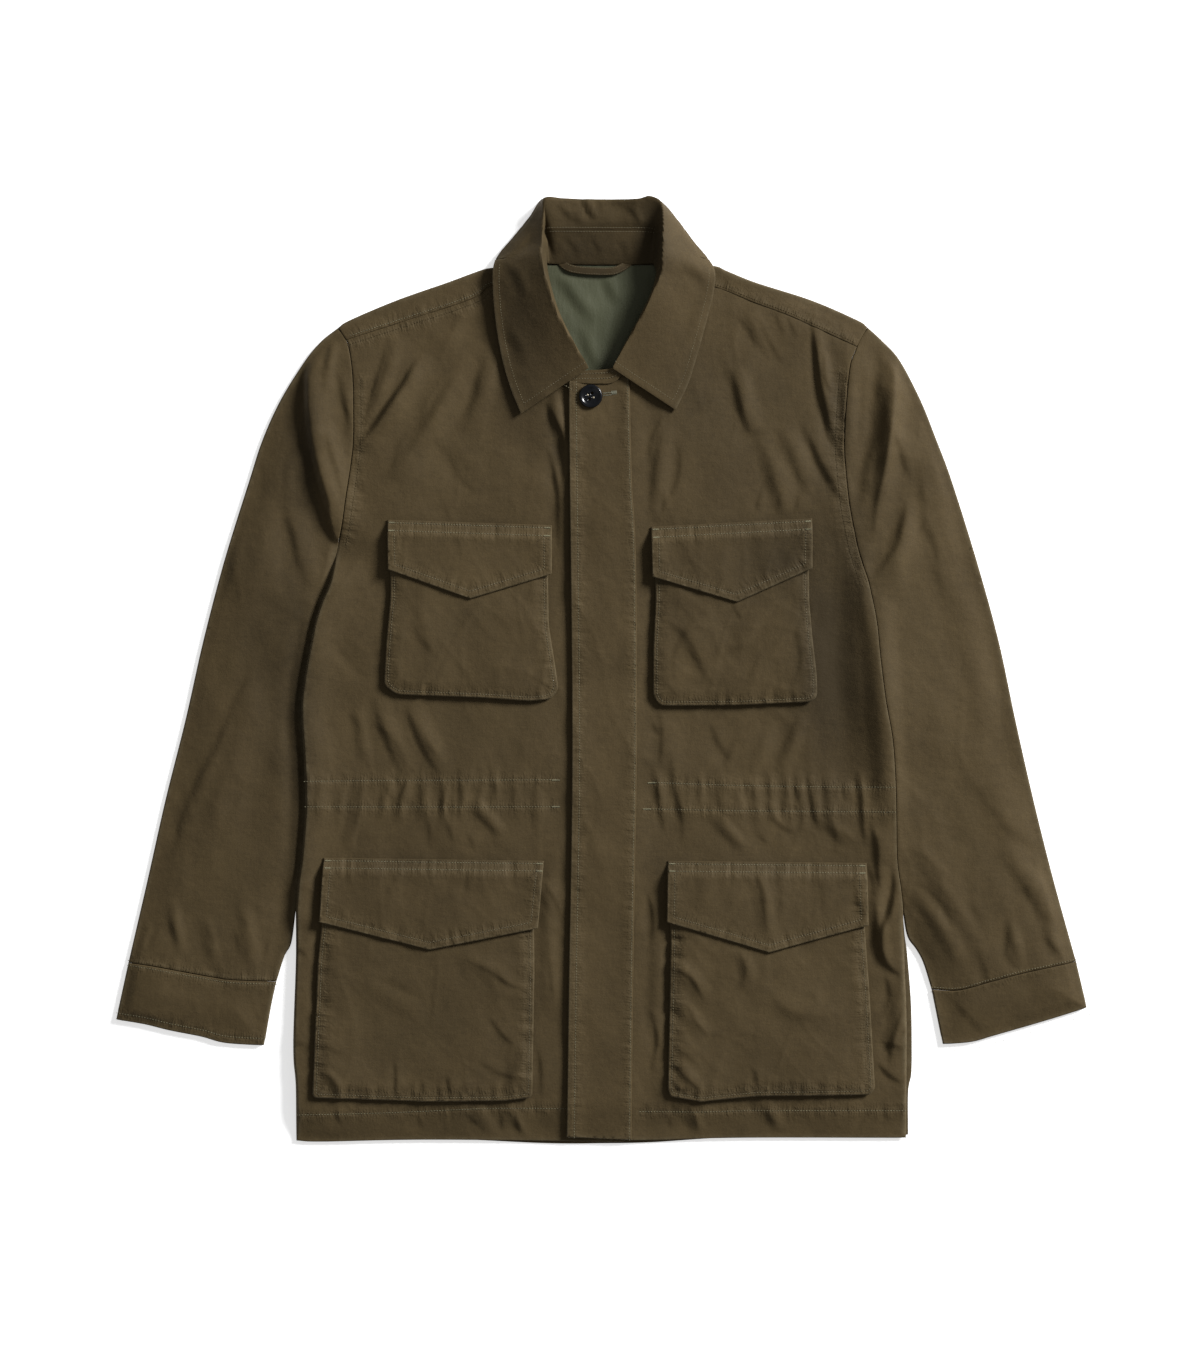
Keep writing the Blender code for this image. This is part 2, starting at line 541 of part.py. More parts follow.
def triangulate(loops, points, lines=()):
    """Triangles over closed loops, open lines and loose points."""
    places, edges = [], []
    for loop in loops:
        start = len(places)
        places += [Vector(p[:2]) for p in loop]
        edges += [(start + k, start + (k + 1) % len(loop)) for k in range(len(loop))]
    for line in lines:
        start = len(places)
        places += [Vector(p[:2]) for p in line]
        edges += [(start + k, start + k + 1) for k in range(len(line) - 1)]
    places += [Vector(p) for p in points]
    found, _, faces, _, _, _ = delaunay_2d_cdt(places, edges, [], 0, 1e-4)
    solid = []
    for a, b, c in faces:
        area = (found[b] - found[a]).cross(found[c] - found[a])
        solid.append((a, b, c) if area > 0 else (a, c, b))
    return [tuple(p) for p in found], solid


def within(places, faces, outline):
    """The triangles whose middle is inside the outline."""
    return [f for f in faces if inside(
        sum(places[k][0] for k in f) / 3, sum(places[k][1] for k in f) / 3, outline)]


# ---------------------------------------------------------------- making objects


def material_of(name, colour, roughness=0.85):
    made = bpy.data.materials.get(name)
    if made:
        return made
    made = bpy.data.materials.new(name)
    made.use_nodes = True
    shader = made.node_tree.nodes["Principled BSDF"]
    shader.inputs["Base Color"].default_value = (*colour, 1.0)
    shader.inputs["Roughness"].default_value = roughness
    shader.inputs["Metallic"].default_value = 0.0
    made.diffuse_color = (*colour, 1.0)
    return made


def cotton():
    return material_of("brown_cotton", (0.085, 0.061, 0.032))


def sage():
    return material_of("sage_lining", (0.090, 0.110, 0.060), 0.7)


def horn():
    return material_of("dark_button", (0.010, 0.012, 0.018), 0.25)


def make(name, points, faces, material):
    """One named object from points in millimetres."""
    mesh = bpy.data.meshes.new(name)
    mesh.from_pydata([Vector(p) * MM for p in points], [], faces)
    shape = bmesh.new()
    shape.from_mesh(mesh)
    loose = [v for v in shape.verts if not v.link_faces]
    bmesh.ops.delete(shape, geom=loose, context="VERTS")
    bmesh.ops.recalc_face_normals(shape, faces=shape.faces)
    shape.to_mesh(mesh)
    shape.free()
    mesh.materials.append(material)
    made = bpy.data.objects.new(name, mesh)
    bpy.context.scene.collection.objects.link(made)
    return made


def border(faces):
    """Directed edges that only one triangle has."""
    seen = {(f[k], f[(k + 1) % 3]) for f in faces for k in range(3)}
    return [(a, b) for a, b in seen if (b, a) not in seen]


def sheet(name, places, faces, low, high, material):
    """A wall of cloth between two heights over the same triangles."""
    count = len(places)
    points = [(x, y, low[k]) for k, (x, y) in enumerate(places)]
    points += [(x, y, high[k]) for k, (x, y) in enumerate(places)]
    walls = [tuple(count + k for k in f) for f in faces]
    walls += [tuple(reversed(f)) for f in faces]
    walls += [(a, b, count + b, count + a) for a, b in border(faces)]
    return make(name, points, walls, material)


def tube(name, runs, material):
    """A flattened tube lying on the table. Each run is (points, is_open)."""
    outer, open_edge = [], []
    for points, is_open in runs:
        for _ in range(len(points) - 1):
            open_edge.append(is_open)
        outer += list(points)[:-1]
    outer = inset(outer, SEAM)
    count = len(outer)
    shrunk = inset(outer, WALL)
    inner = []
    for k in range(count):
        before, after = open_edge[k - 1], open_edge[k]
        if before and after:
            inner.append(outer[k].copy())
        elif before or after:
            along = (outer[(k + 1) % count] if after else outer[k - 1]) - outer[k]
            inner.append(outer[k] + along.normalized() * WALL)
        else:
            inner.append(shrunk[k])
    loose = spread(outer, [tuple(p) for p in outer], [outer + outer[:1]])
    points, faces = [], []

    def layer(loop, extra, height_of, flip):
        places, found = triangulate([loop], extra)
        found = within(places, found, loop)
        start = len(points)
        points.extend((x, y, height_of(x, y)) for x, y in places)
        faces.extend(tuple(start + k for k in (reversed(f) if flip else f)) for f in found)
        return start

    def top_height(x, y):
        return height(x, y) + wall_at(x, y)

    top = layer(outer, loose, top_height, False)
    under = layer(inner, loose, height, True)
    bottom = layer(outer, [], lambda x, y: 0.0, True)
    floor = layer(inner, [], lambda x, y: WALL, False)
    for k in range(count):
        m = (k + 1) % count
        if open_edge[k]:
            faces.append((top + k, top + m, under + m, under + k))
            faces.append((bottom + k, bottom + m, floor + m, floor + k))
        else:
            faces.append((top + k, top + m, bottom + m, bottom + k))
            faces.append((under + k, under + m, floor + m, floor + k))
        if open_edge[k] != open_edge[k - 1]:
            faces.append((top + k, bottom + k, floor + k, under + k))
    return make(name, points, faces, material)


def between(rows, parts):
    """The table's rows with smooth rows put in between them."""
    names = list(rows[0])
    places = [Vector([row[name] for name in names]) for row in rows]
    count = (len(rows) - 1) * parts
    return [dict(zip(names, through(places, k / count))) for k in range(count + 1)]


def strip(name, rows, thickness, material):
    """A grid of points as a band of cloth, thickened both ways."""
    across = len(rows[0])
    points = [p for row in rows for p in row]
    faces = []
    for i in range(len(rows) - 1):
        for j in range(across - 1):
            a = i * across + j
            faces.append((a, a + 1, a + across + 1, a + across))
    made = make(name, points, faces, material)
    solidify = made.modifiers.new("thickness", "SOLIDIFY")
    solidify.thickness = thickness * MM
    solidify.offset = 0.0
    return made


# ---------------------------------------------------------------- back


def build_back():
    """Flat back panel that wraps over each shoulder to the forward seam."""
    count = 15
    shoulder_right, shoulder_left = curve(SHOULDER_RIGHT, count), curve(SHOULDER_LEFT, count)
    runs = (
        shoulder_right, curve(ARMHOLE_RIGHT), curve(SIDE_RIGHT), curve(SIDE_RIGHT_LOW),
        curve(HEM_BACK), back_along(curve(SIDE_LEFT_BACK)), back_along(curve(SIDE_LEFT)),
        back_along(curve(ARMHOLE_LEFT)), back_along(shoulder_left), curve(NECK_BACK),
    )
    outer = inset(joined(*runs), SEAM)
    total = len(outer)
    left_end = total - (len(runs[-1]) - 1)
    wraps = (
        (list(range(count)), curve(FORWARD_RIGHT, count)),
        (list(range(left_end - count + 1, left_end + 1)), back_along(curve(FORWARD_LEFT, count))),
    )
    inner = [p.copy() for p in outer]
    for indices, forward in wraps:
        for k, seam_point in zip(indices, forward):
            inner[k] = outer[k] + (seam_point - outer[k]).normalized() * WALL

    points, faces = [], []

    def layer(loop, z, flip):
        places, found = triangulate([loop], [])
        start = len(points)
        points.extend((x, y, z) for x, y in places)
        for f in within(places, found, loop):
            faces.append(tuple(start + k for k in (reversed(f) if flip else f)))
        return start

    bottom = layer(outer, 0.0, True)
    floor = layer(inner, WALL, False)
    wrapped = {k for indices, _ in wraps for k in indices[:-1]}
    for k in range(total):
        m = (k + 1) % total
        if k not in wrapped:
            faces.append((bottom + k, bottom + m, floor + m, floor + k))

    def add(x, y, z):
        points.append((x, y, z))
        return len(points) - 1

    for indices, forward in wraps:
        columns = []
        for k, seam_point in zip(indices, forward):
            edge, tucked = outer[k], inner[k]
            toward = (seam_point - edge).normalized()
            end = seam_point - toward * SEAM
            middle = edge.lerp(end, 0.5)
            over = [add(p.x, p.y, height(p.x, p.y) + WALL) for p in (edge, middle, end)]
            below = [add(p.x, p.y, height(p.x, p.y)) for p in (end, middle)]
            below.append(add(tucked.x, tucked.y, SIDE_HEIGHT))
            columns.append([bottom + k] + over + below + [floor + k])
        for a, b in zip(columns, columns[1:]):
            for i in range(len(a) - 1):
                faces.append((a[i], b[i], b[i + 1], a[i + 1]))
        for ring in (columns[0], columns[-1]):
            faces.append((ring[0], ring[1], ring[6], ring[7]))
            faces.append((ring[1], ring[2], ring[5], ring[6]))
            faces.append((ring[2], ring[3], ring[4], ring[5]))
    make("back", points, faces, cotton())


# ---------------------------------------------------------------- fronts


def flap_outline(corners_of):
    left_top, left_low, point, right_low, right_top = (Vector(p) for p in corners_of)
    return inset(joined(corners((left_top, left_low)), corners((left_low, point, right_low)),
                        corners((right_low, right_top)), corners((right_top, left_top))), 0.01)


def flap_line(corners_of):
    """Where a flap has climbed onto its bag."""
    left_top, left_low, _, right_low, right_top = (Vector(p) for p in corners_of)
    left = left_top + (left_low - left_top).normalized() * FLAP_RAMP
    right = right_top + (right_low - right_top).normalized() * FLAP_RAMP
    return corners((left, right))


def bag_outline(points):
    return [Vector(p) for p in corners(points + points[:1], 26.0)[:-1]]


def build_fronts():
    """Both fronts, the placket, the pockets and the flaps, all from one set of points."""
    right = inset(joined(
        curve(SIDE_RIGHT), curve(SIDE_RIGHT_LOW), curve(HEM_RIGHT), corners(OVERLAP_EDGE),
        curve(NECK_RIGHT), curve(FORWARD_RIGHT), armhole_below(ARMHOLE_RIGHT, FORWARD_RIGHT[-1]),
    ), SEAM)
    left = inset(joined(
        curve(FRONT_EDGE), curve(HEM_LEFT), back_along(curve(SIDE_LEFT_FRONT)),
        back_along(curve(SIDE_LEFT)),
        back_along(armhole_below(ARMHOLE_LEFT, FORWARD_LEFT[-1])),
        back_along(curve(FORWARD_LEFT)), curve(NECK_LEFT),
    ), SEAM)
    seam = curve(PLACKET_SEAM)
    bags = {name: bag_outline(table["bag"]) for name, table in POCKETS.items()}
    rings = {name: inset(bag, BAG_RAMP) for name, bag in bags.items()}
    flaps = {name: flap_outline(table["flap"]) for name, table in POCKETS.items()}
    ramps = [flap_line(table["flap"]) for table in POCKETS.values()]

    loops = [right, left] + list(bags.values()) + list(rings.values()) + list(flaps.values())
    lines = [seam] + ramps
    taken = [tuple(p) for loop in loops + lines for p in loop]
    closed = [loop + loop[:1] for loop in loops] + lines
    both = joined(
        curve(SIDE_RIGHT), curve(SIDE_RIGHT_LOW), curve(HEM_BACK),
        back_along(curve(SIDE_LEFT_FRONT)), back_along(curve(SIDE_LEFT)),
        back_along(curve(ARMHOLE_LEFT)), back_along(curve(SHOULDER_LEFT)), curve(NECK_BACK),
        curve(SHOULDER_RIGHT), curve(ARMHOLE_RIGHT),
    )
    places, faces = triangulate(loops, spread(both, taken, closed), lines)
    wall = [wall_at(x, y) for x, y in places]
    under = [height(x, y) for x, y in places]

    def raised(base, rise):
        low = [z + rise(k, *places[k]) for k, z in enumerate(base)]
        return low, [z + thick for z, thick in zip(low, wall)]

    def over_right(k, x, y):
        return (wall[k] + GAP) * (1 - smooth((x - OVERLAP_X) / OVERLAP_FADE))

    right_low, right_top = raised(under, lambda k, x, y: 0.0)
    left_low, left_top = raised(under, over_right)
    sheet("front_right", places, within(places, faces, right), right_low, right_top, cotton())
    sheet("front_left", places, within(places, faces, left), left_low, left_top, cotton())

    band = joined(curve(FRONT_EDGE), [Vector(FRONT_EDGE[-1]), Vector(PLACKET_SEAM[0])],
                  seam, [Vector(PLACKET_SEAM[-1]), Vector((20.0, 400.0)), Vector(FRONT_EDGE[0])])
    on_band = within(places, within(places, faces, left), band)
    band_low, band_top = raised(left_top, lambda k, x, y: GAP)
    sheet("placket", places, on_band, band_low, band_top, cotton())

    for name, table in POCKETS.items():
        kind, side = name.split("_")
        front = right_top if side == "right" else left_top
        bag, flap = bags[name], flaps[name]
        closed_bag = [bag + bag[:1]]
        top_edge = [flap_seam(table["flap"])]

        def bag_rise(k, x, y):
            if not inside(x, y, bag):
                return GAP
            return GAP + BAG_RISE * min(distance_to(x, y, closed_bag) / BAG_RAMP, 1.0)

        def flap_rise(k, x, y):
            climb = min(distance_to(x, y, top_edge) / FLAP_RAMP, 1.0)
            return GAP + (BAG_RISE + wall[k] + GAP) * climb

        low, top = raised(front, bag_rise)
        sheet(f"{kind}_pocket_{side}", places, within(places, faces, bag), low, top, cotton())
        low, top = raised(front, flap_rise)
        sheet(f"{kind}_flap_{side}", places, within(places, faces, flap), low, top, cotton())


def flap_seam(corners_of):
    return [Vector(corners_of[0]), Vector(corners_of[-1])]


def armhole_below(armhole, start):
    """The armhole from the forward shoulder seam down."""
    line = curve(armhole)
    return [Vector(start)] + [p for p in line if p.y < start[1] - OUTLINE_STEP * 0.4]


# ---------------------------------------------------------------- sleeves and cuffs


def build_sleeves():
    cloth = cotton()
    tube("sleeve_right", (
        (curve(SLEEVE_OUT_RIGHT), False), (curve(CUFF_SEAM_RIGHT), True),
        (back_along(curve(SLEEVE_IN_RIGHT)), False), (back_along(curve(SIDE_RIGHT)), False),
        (back_along(curve(ARMHOLE_RIGHT)), True),
    ), cloth)
    tube("sleeve_left", (
        (curve(ARMHOLE_LEFT), True), (curve(SIDE_LEFT), False), (curve(SLEEVE_IN_LEFT), False),
        (back_along(curve(CUFF_SEAM_LEFT)), True), (back_along(curve(SLEEVE_OUT_LEFT)), False),
    ), cloth)
    tube("cuff_right", (
        (curve(CUFF_OUT_RIGHT), False), (curve(CUFF_END_RIGHT), True),
        (back_along(curve(CUFF_IN_RIGHT)), False), (back_along(curve(CUFF_SEAM_RIGHT)), True),
    ), cloth)
    tube("cuff_left", (
        (curve(CUFF_IN_LEFT), False), (back_along(curve(CUFF_END_LEFT)), True),
        (back_along(curve(CUFF_OUT_LEFT)), False), (curve(CUFF_SEAM_LEFT), True),
    ), cloth)


# ---------------------------------------------------------------- collar


def at(row, name):
    return Vector((row[name + "_x"], row[name + "_y"], row[name + "_z"]))


def outward_of(rows, k):
    """Level direction, square to the collar's outer contour, that points away from it."""
    before, after = at(rows[max(k - 1, 0)], "edge"), at(rows[min(k + 1, len(rows) - 1)], "edge")
    along = after - before
    return Vector((-along.y, along.x, 0.0)).normalized()


def fall_section(rows, k):
    """Points from the seam over the crest of the fold to the free edge."""
    row = rows[k]
    seam, fold, edge = at(row, "seam"), at(row, "fold"), at(row, "edge")
    path = [seam, seam.lerp(fold, 0.55) + Vector((0, 0, 0.6)), fold]
    for part in (0.25, 0.5, 0.75):
        level = fold.lerp(edge, part)
        sag = (fold.z - edge.z) * (part ** 0.8 - part)
        path.append(Vector((level.x, level.y, level.z - sag)))
    path.append(edge)
    if row["under"] > LEAST_UNDER:
        away = outward_of(rows, k)
        low = COLLAR_WALL / 2
        path[-1] = edge - away * ROLL_RADIUS * 0.4
        path.append(Vector((edge.x, edge.y, (edge.z + low) / 2)))
        path.append(Vector((edge.x, edge.y, low)) - away * ROLL_RADIUS * 0.4)
        path.append(Vector((edge.x, edge.y, low)) - away * (row["under"] + ROLL_RADIUS))
    fine = [through(path, k / (6 * len(path))) for k in range(6 * len(path) + 1)]
    fine = [Vector((p.x, p.y, max(p.z, COLLAR_WALL / 2))) for p in fine]
    return even(fine, SECTION_POINTS)


def seam_room(stand_way, fall_way):
    """How far an end stops from the seam, so that two walls that meet at an angle clear."""
    angle = stand_way.angle(fall_way)
    return GAP / 2 + COLLAR_WALL / 2 * math.tan(angle / 2) * 1.3


def build_collar():
    rows = between(COLLAR, 2)
    sections = [fall_section(rows, k) for k in range(len(rows))]
    stand = []
    for row, section in zip(rows, sections):
        neck, seam = at(row, "neck"), at(row, "seam")
        room = seam_room(seam - neck, section[1] - section[0])
        stand.append(even((neck, seam + (neck - seam).normalized() * room), 4))
        section[0] += (section[1] - section[0]).normalized() * room
    strip("collar_fall", sections, COLLAR_WALL, cotton())
    stand = stand[FIRST_STAND:]
    for row in STAND_END:
        neck, seam = at(row, "neck"), at(row, "seam")
        stand.append(even((neck, seam), 4))
    strip("collar_stand", stand, STAND_WALL, cotton())


# ---------------------------------------------------------------- small pieces


def build_lining():
    outline = inset(curve(LINING + LINING[:1])[:-1], SEAM)
    places, faces = triangulate([outline], [])
    low = [WALL + GAP] * len(places)
    high = [WALL + GAP + 1.0] * len(places)
    sheet("lining", places, within(places, faces, outline), low, high, sage())


def build_loop():
    line = [dict(zip(LOOP_COLUMNS, row)) for row in LOOP_ROWS]
    rows = []
    for k, row in enumerate(line):
        before, after = line[max(k - 1, 0)], line[min(k + 1, len(line) - 1)]
        along = Vector((after["x"] - before["x"], after["y"] - before["y"], 0)).normalized()
        side = Vector((-along.y, along.x, 0)) * LOOP_HALF_WIDTH
        middle = Vector((row["x"], row["y"], row["z"]))
        rows.append([middle - side, middle, middle + side])
    strip("hanger_loop", rows, WALL, cotton())


def build_button():
    """Four-hole button with a raised rim and a dished middle, on top of the placket."""
    x, y = BUTTON_AT
    ring = [(x + BUTTON_RADIUS * math.cos(a), y + BUTTON_RADIUS * math.sin(a))
            for a in (k * math.tau / 12 for k in range(12))]
    base = max(height(*place) + 3 * wall_at(*place) for place in ring + [BUTTON_AT]) + 3.5 * GAP
    profile = (
        (0.0, 0.0), (8.6, 0.0), (10.0, 0.9), (10.2, 1.6), (9.9, 2.5), (9.1, 3.0),
        (8.1, 2.7), (7.2, 1.9), (0.0, 1.7),
    )
    shape = bmesh.new()
    line = [shape.verts.new(Vector((r, 0, z)) * MM) for r, z in profile]
    edges = [shape.edges.new(pair) for pair in zip(line, line[1:])]
    bmesh.ops.spin(shape, geom=line + edges, axis=(0, 0, 1), cent=(0, 0, 0),
                   steps=32, angle=math.tau, use_duplicate=False)
    bmesh.ops.remove_doubles(shape, verts=shape.verts, dist=1e-6)
    bmesh.ops.recalc_face_normals(shape, faces=shape.faces)
    mesh = bpy.data.meshes.new("button")
    shape.to_mesh(mesh)
    shape.free()
    mesh.materials.append(horn())
    mesh.shade_smooth()
    mesh.set_sharp_from_angle(angle=math.radians(40))
    button = bpy.data.objects.new("button", mesh)
    button.location = Vector((x, y, base)) * MM
    bpy.context.scene.collection.objects.link(button)
    for k in range(4):
        angle = math.tau * (k + 0.5) / 4
        centre = Vector((x + HOLE_OFFSET * math.cos(angle), y + HOLE_OFFSET * math.sin(angle), base))
        bpy.ops.mesh.primitive_cylinder_add(
            vertices=10, radius=HOLE_RADIUS * MM, depth=4 * BUTTON_THICK * MM, location=centre * MM)
        drill = bpy.context.object
        drill.name = f"button_hole_{k}"
        drill.hide_render = True
        drill.display_type = "WIRE"
        cut = button.modifiers.new(drill.name, "BOOLEAN")
        cut.operation = "DIFFERENCE"
        cut.object = drill


def build():
    for thing in list(bpy.data.objects):
        bpy.data.objects.remove(thing, do_unlink=True)
    build_back()
    build_fronts()
    build_sleeves()
    build_collar()
    build_lining()
    build_loop()
    build_button()


build()
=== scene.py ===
import math

import bmesh
import bpy
import numpy as np
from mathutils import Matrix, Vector
from mathutils.geometry import delaunay_2d_cdt


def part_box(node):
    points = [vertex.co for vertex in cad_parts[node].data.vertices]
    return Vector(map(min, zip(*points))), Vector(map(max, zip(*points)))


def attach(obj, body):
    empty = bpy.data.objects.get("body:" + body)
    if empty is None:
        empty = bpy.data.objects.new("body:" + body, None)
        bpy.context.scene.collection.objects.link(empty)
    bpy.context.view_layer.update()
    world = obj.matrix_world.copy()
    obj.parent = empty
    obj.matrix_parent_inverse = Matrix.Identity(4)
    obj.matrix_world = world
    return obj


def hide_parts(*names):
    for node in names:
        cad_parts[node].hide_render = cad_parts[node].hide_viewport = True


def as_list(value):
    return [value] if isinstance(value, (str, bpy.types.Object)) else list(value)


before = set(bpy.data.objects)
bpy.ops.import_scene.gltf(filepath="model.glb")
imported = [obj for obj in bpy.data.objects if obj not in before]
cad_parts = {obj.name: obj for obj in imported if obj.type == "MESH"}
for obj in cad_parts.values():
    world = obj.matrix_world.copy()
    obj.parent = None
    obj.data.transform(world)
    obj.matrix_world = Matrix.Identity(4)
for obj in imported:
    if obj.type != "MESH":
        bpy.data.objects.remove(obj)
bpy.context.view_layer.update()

# A field jacket laid flat, face up. All is in millimetres, unless metres are noted:
# x to the wearer's left, y to the collar, z up from the surface that it lies on.
mm = 0.001
scene = bpy.context.scene

studio = {
    "down": 1174.5, "middle": (-1.3, -3.5), "lens": 100.0, "sensor": 36.0, "clothLevel": 6.0,
    "skyStrength": 0.215, "floorGlow": 0.55, "floorCells": 24,
    # the floor and the lamps are in metres
    "floorHalf": 4.0, "floorLevel": -0.0004,
    "keyAt": (5.05, 3.55, 3.05), "keySize": 2.4, "keyPower": 990.0,
    "fillAt": (-1.6, -1.2, 2.6), "fillSize": 2.6, "fillPower": 4.0,
}

seams = {
    "sideRight": (
        (-229.7, 109.6), (-236, 79), (-243, 62), (-249, 44), (-252.5, 27), (-259, -8), (-261.4, -34),
        (-259, -77), (-258, -118), (-261, -160), (-264, -182), (-266, -206),
    ),
    "sideRightLow": ((-266, -206), (-266, -251), (-268, -310), (-268, -338), (-266, -362), (-265.8, -409)),
    "sideLeft": (
        (231.9, 78.3), (238.8, 44.4), (242.3, 9.6), (246.6, -25.2), (252.7, -60), (255.3, -94.8),
        (256.2, -129.6), (257.1, -164.4), (260.6, -190.5), (262.3, -209),
    ),
    "sideLeftFront": ((262.3, -209), (264, -261), (265.6, -309.3), (265.2, -406.6)),
    "sideLeftBack": (
        (262.3, -209), (264.2, -231), (266.2, -245), (269.6, -286.8), (270.4, -325), (270, -351),
        (267.3, -366), (267.2, -404),
    ),
    "armholeRight": (
        (-229.4, 298.8), (-222.3, 288.8), (-218.3, 273.2), (-216.2, 251.4), (-215.8, 225.3),
        (-216.2, 198.4), (-218.8, 175.7), (-222.3, 152.3), (-225.8, 127.5), (-229.7, 109.6),
    ),
    "armholeLeft": (
        (231.7, 299.3), (224.7, 288), (221.2, 279.3), (216.2, 265.4), (213.2, 236.2), (211.6, 210),
        (211.4, 190), (213.9, 160.1), (216.8, 138.3), (222.5, 109.6), (226.5, 95), (231.9, 78.3),
    ),
    "shoulderRight": (
        (-52, 356.6), (-93.5, 351.5), (-105.7, 348.9), (-134.4, 338.4), (-178.8, 322.8), (-219.7, 305.4),
        (-229.4, 298.8),
    ),
    "shoulderLeft": (
        (49, 356.8), (96.1, 353.2), (108.3, 348.9), (134.4, 338.4), (183.1, 322.8), (223.2, 305.4),
        (231.7, 299.3),
    ),
    "forwardRight": ((-52.6, 344.5), (-95.3, 336.7), (-114.4, 324.2), (-182.3, 301.9), (-222.3, 288.8)),
    "forwardLeft": ((51, 344.5), (98.7, 335), (134.4, 321), (161.8, 310.6), (181.4, 301.9), (222.6, 283)),
    "neckBack": ((49, 356.8), (33.5, 356.6), (0, 356.2), (-35.6, 356.6), (-52, 356.6)),
    "neckRight": (
        (20, 246.5), (-14, 246.5), (-24, 253.2), (-34.4, 282.8), (-43, 307.1), (-49.2, 329.7),
        (-52.6, 344.5),
    ),
    "neckLeft": (
        (51, 344.5), (43.9, 322.8), (37, 301), (26.5, 277.5), (14.4, 255.1), (9.1, 251.6), (-0.9, 249.7),
        (-12.6, 249.9), (-26.5, 251.4),
    ),
    "hemRight": ((-265.8, -409), (-242.6, -409.9), (-146.6, -408.2), (20, -410)),
    "hemLeft": ((-30.3, -405.4), (0, -405.8), (33.5, -408.6), (122.2, -406.5), (265.2, -406.6)),
    "hemBack": (
        (-265.8, -409), (-146.6, -407.5), (-50, -411.4), (0, -411.5), (44, -410.6), (122.2, -406),
        (267.2, -404),
    ),
    "overlapEdge": ((20, -410), (20, 246.5)),
    "frontEdge": ((-26.5, 251.4), (-28.5, 234), (-25.7, -60), (-28.6, -269.7), (-30.3, -405.4)),
    "placketSeam": (
        (26.2, -408), (27.3, -293.2), (29.1, -176.6), (30.9, -60), (30, 96.6), (26.5, 166.2),
        (24.8, 240.1), (24.8, 268),
    ),
    "sleeveOutRight": (
        (-229.4, 298.8), (-243.2, 288), (-258, 270.6), (-279.7, 235.8), (-295.4, 201), (-306.7, 166.2),
        (-328.4, 96.6), (-346.7, 27), (-362.4, -42.6), (-379.8, -112.2), (-395.4, -181.8), (-412.1, -254),
    ),
    "sleeveOutLeft": (
        (231.7, 299.3), (244, 288), (259.7, 270.6), (278, 235.8), (291.9, 201), (304.9, 166.2),
        (326.7, 96.6), (345.8, 27), (360.6, -42.6), (376.3, -112.2), (393.7, -181.8), (413.4, -253),
    ),
    "sleeveInRight": ((-266, -206), (-270.1, -236.2), (-276.3, -248.6), (-283.2, -270.6)),
    "sleeveInLeft": ((262.3, -209), (266.4, -231), (274.1, -242.4), (280.4, -254.5), (287.5, -277.5)),
    "cuffSeamRight": (
        (-412.1, -254), (-387.6, -257.5), (-347.7, -265), (-322.7, -268.8), (-283.2, -270.6),
    ),
    "cuffSeamLeft": ((413.4, -253), (367, -263), (337.1, -271), (311, -278), (287.5, -277.5)),
    "cuffOutRight": ((-412.1, -254), (-422.9, -303.5)),
    "cuffOutLeft": ((413.4, -253), (422.9, -293.2)),
    "cuffInRight": ((-283.2, -270.6), (-287.8, -292), (-293.8, -326.2)),
    "cuffInLeft": ((287.5, -277.5), (297.1, -325.1)),
    "cuffEndRight": (
        (-422.9, -303.5), (-398.6, -307.5), (-376, -313), (-348.7, -318.4), (-327.7, -323.9),
        (-293.8, -326.2),
    ),
    "cuffEndLeft": ((422.9, -293.2), (387, -304.4), (342, -317.5), (322.1, -323), (297.1, -325.1)),
    "lining": (
        (-50.4, 352.4), (-50.6, 344.6), (-56, 331), (-54, 308), (-46, 280), (-34, 252), (-16, 238),
        (14, 240), (30, 258), (40, 282), (50, 308), (55, 329), (48.9, 343.6), (47.6, 352.4), (43, 353.4),
        (20, 353.2), (0, 353.2), (-25, 353.2), (-45, 353.4),
    ),
}

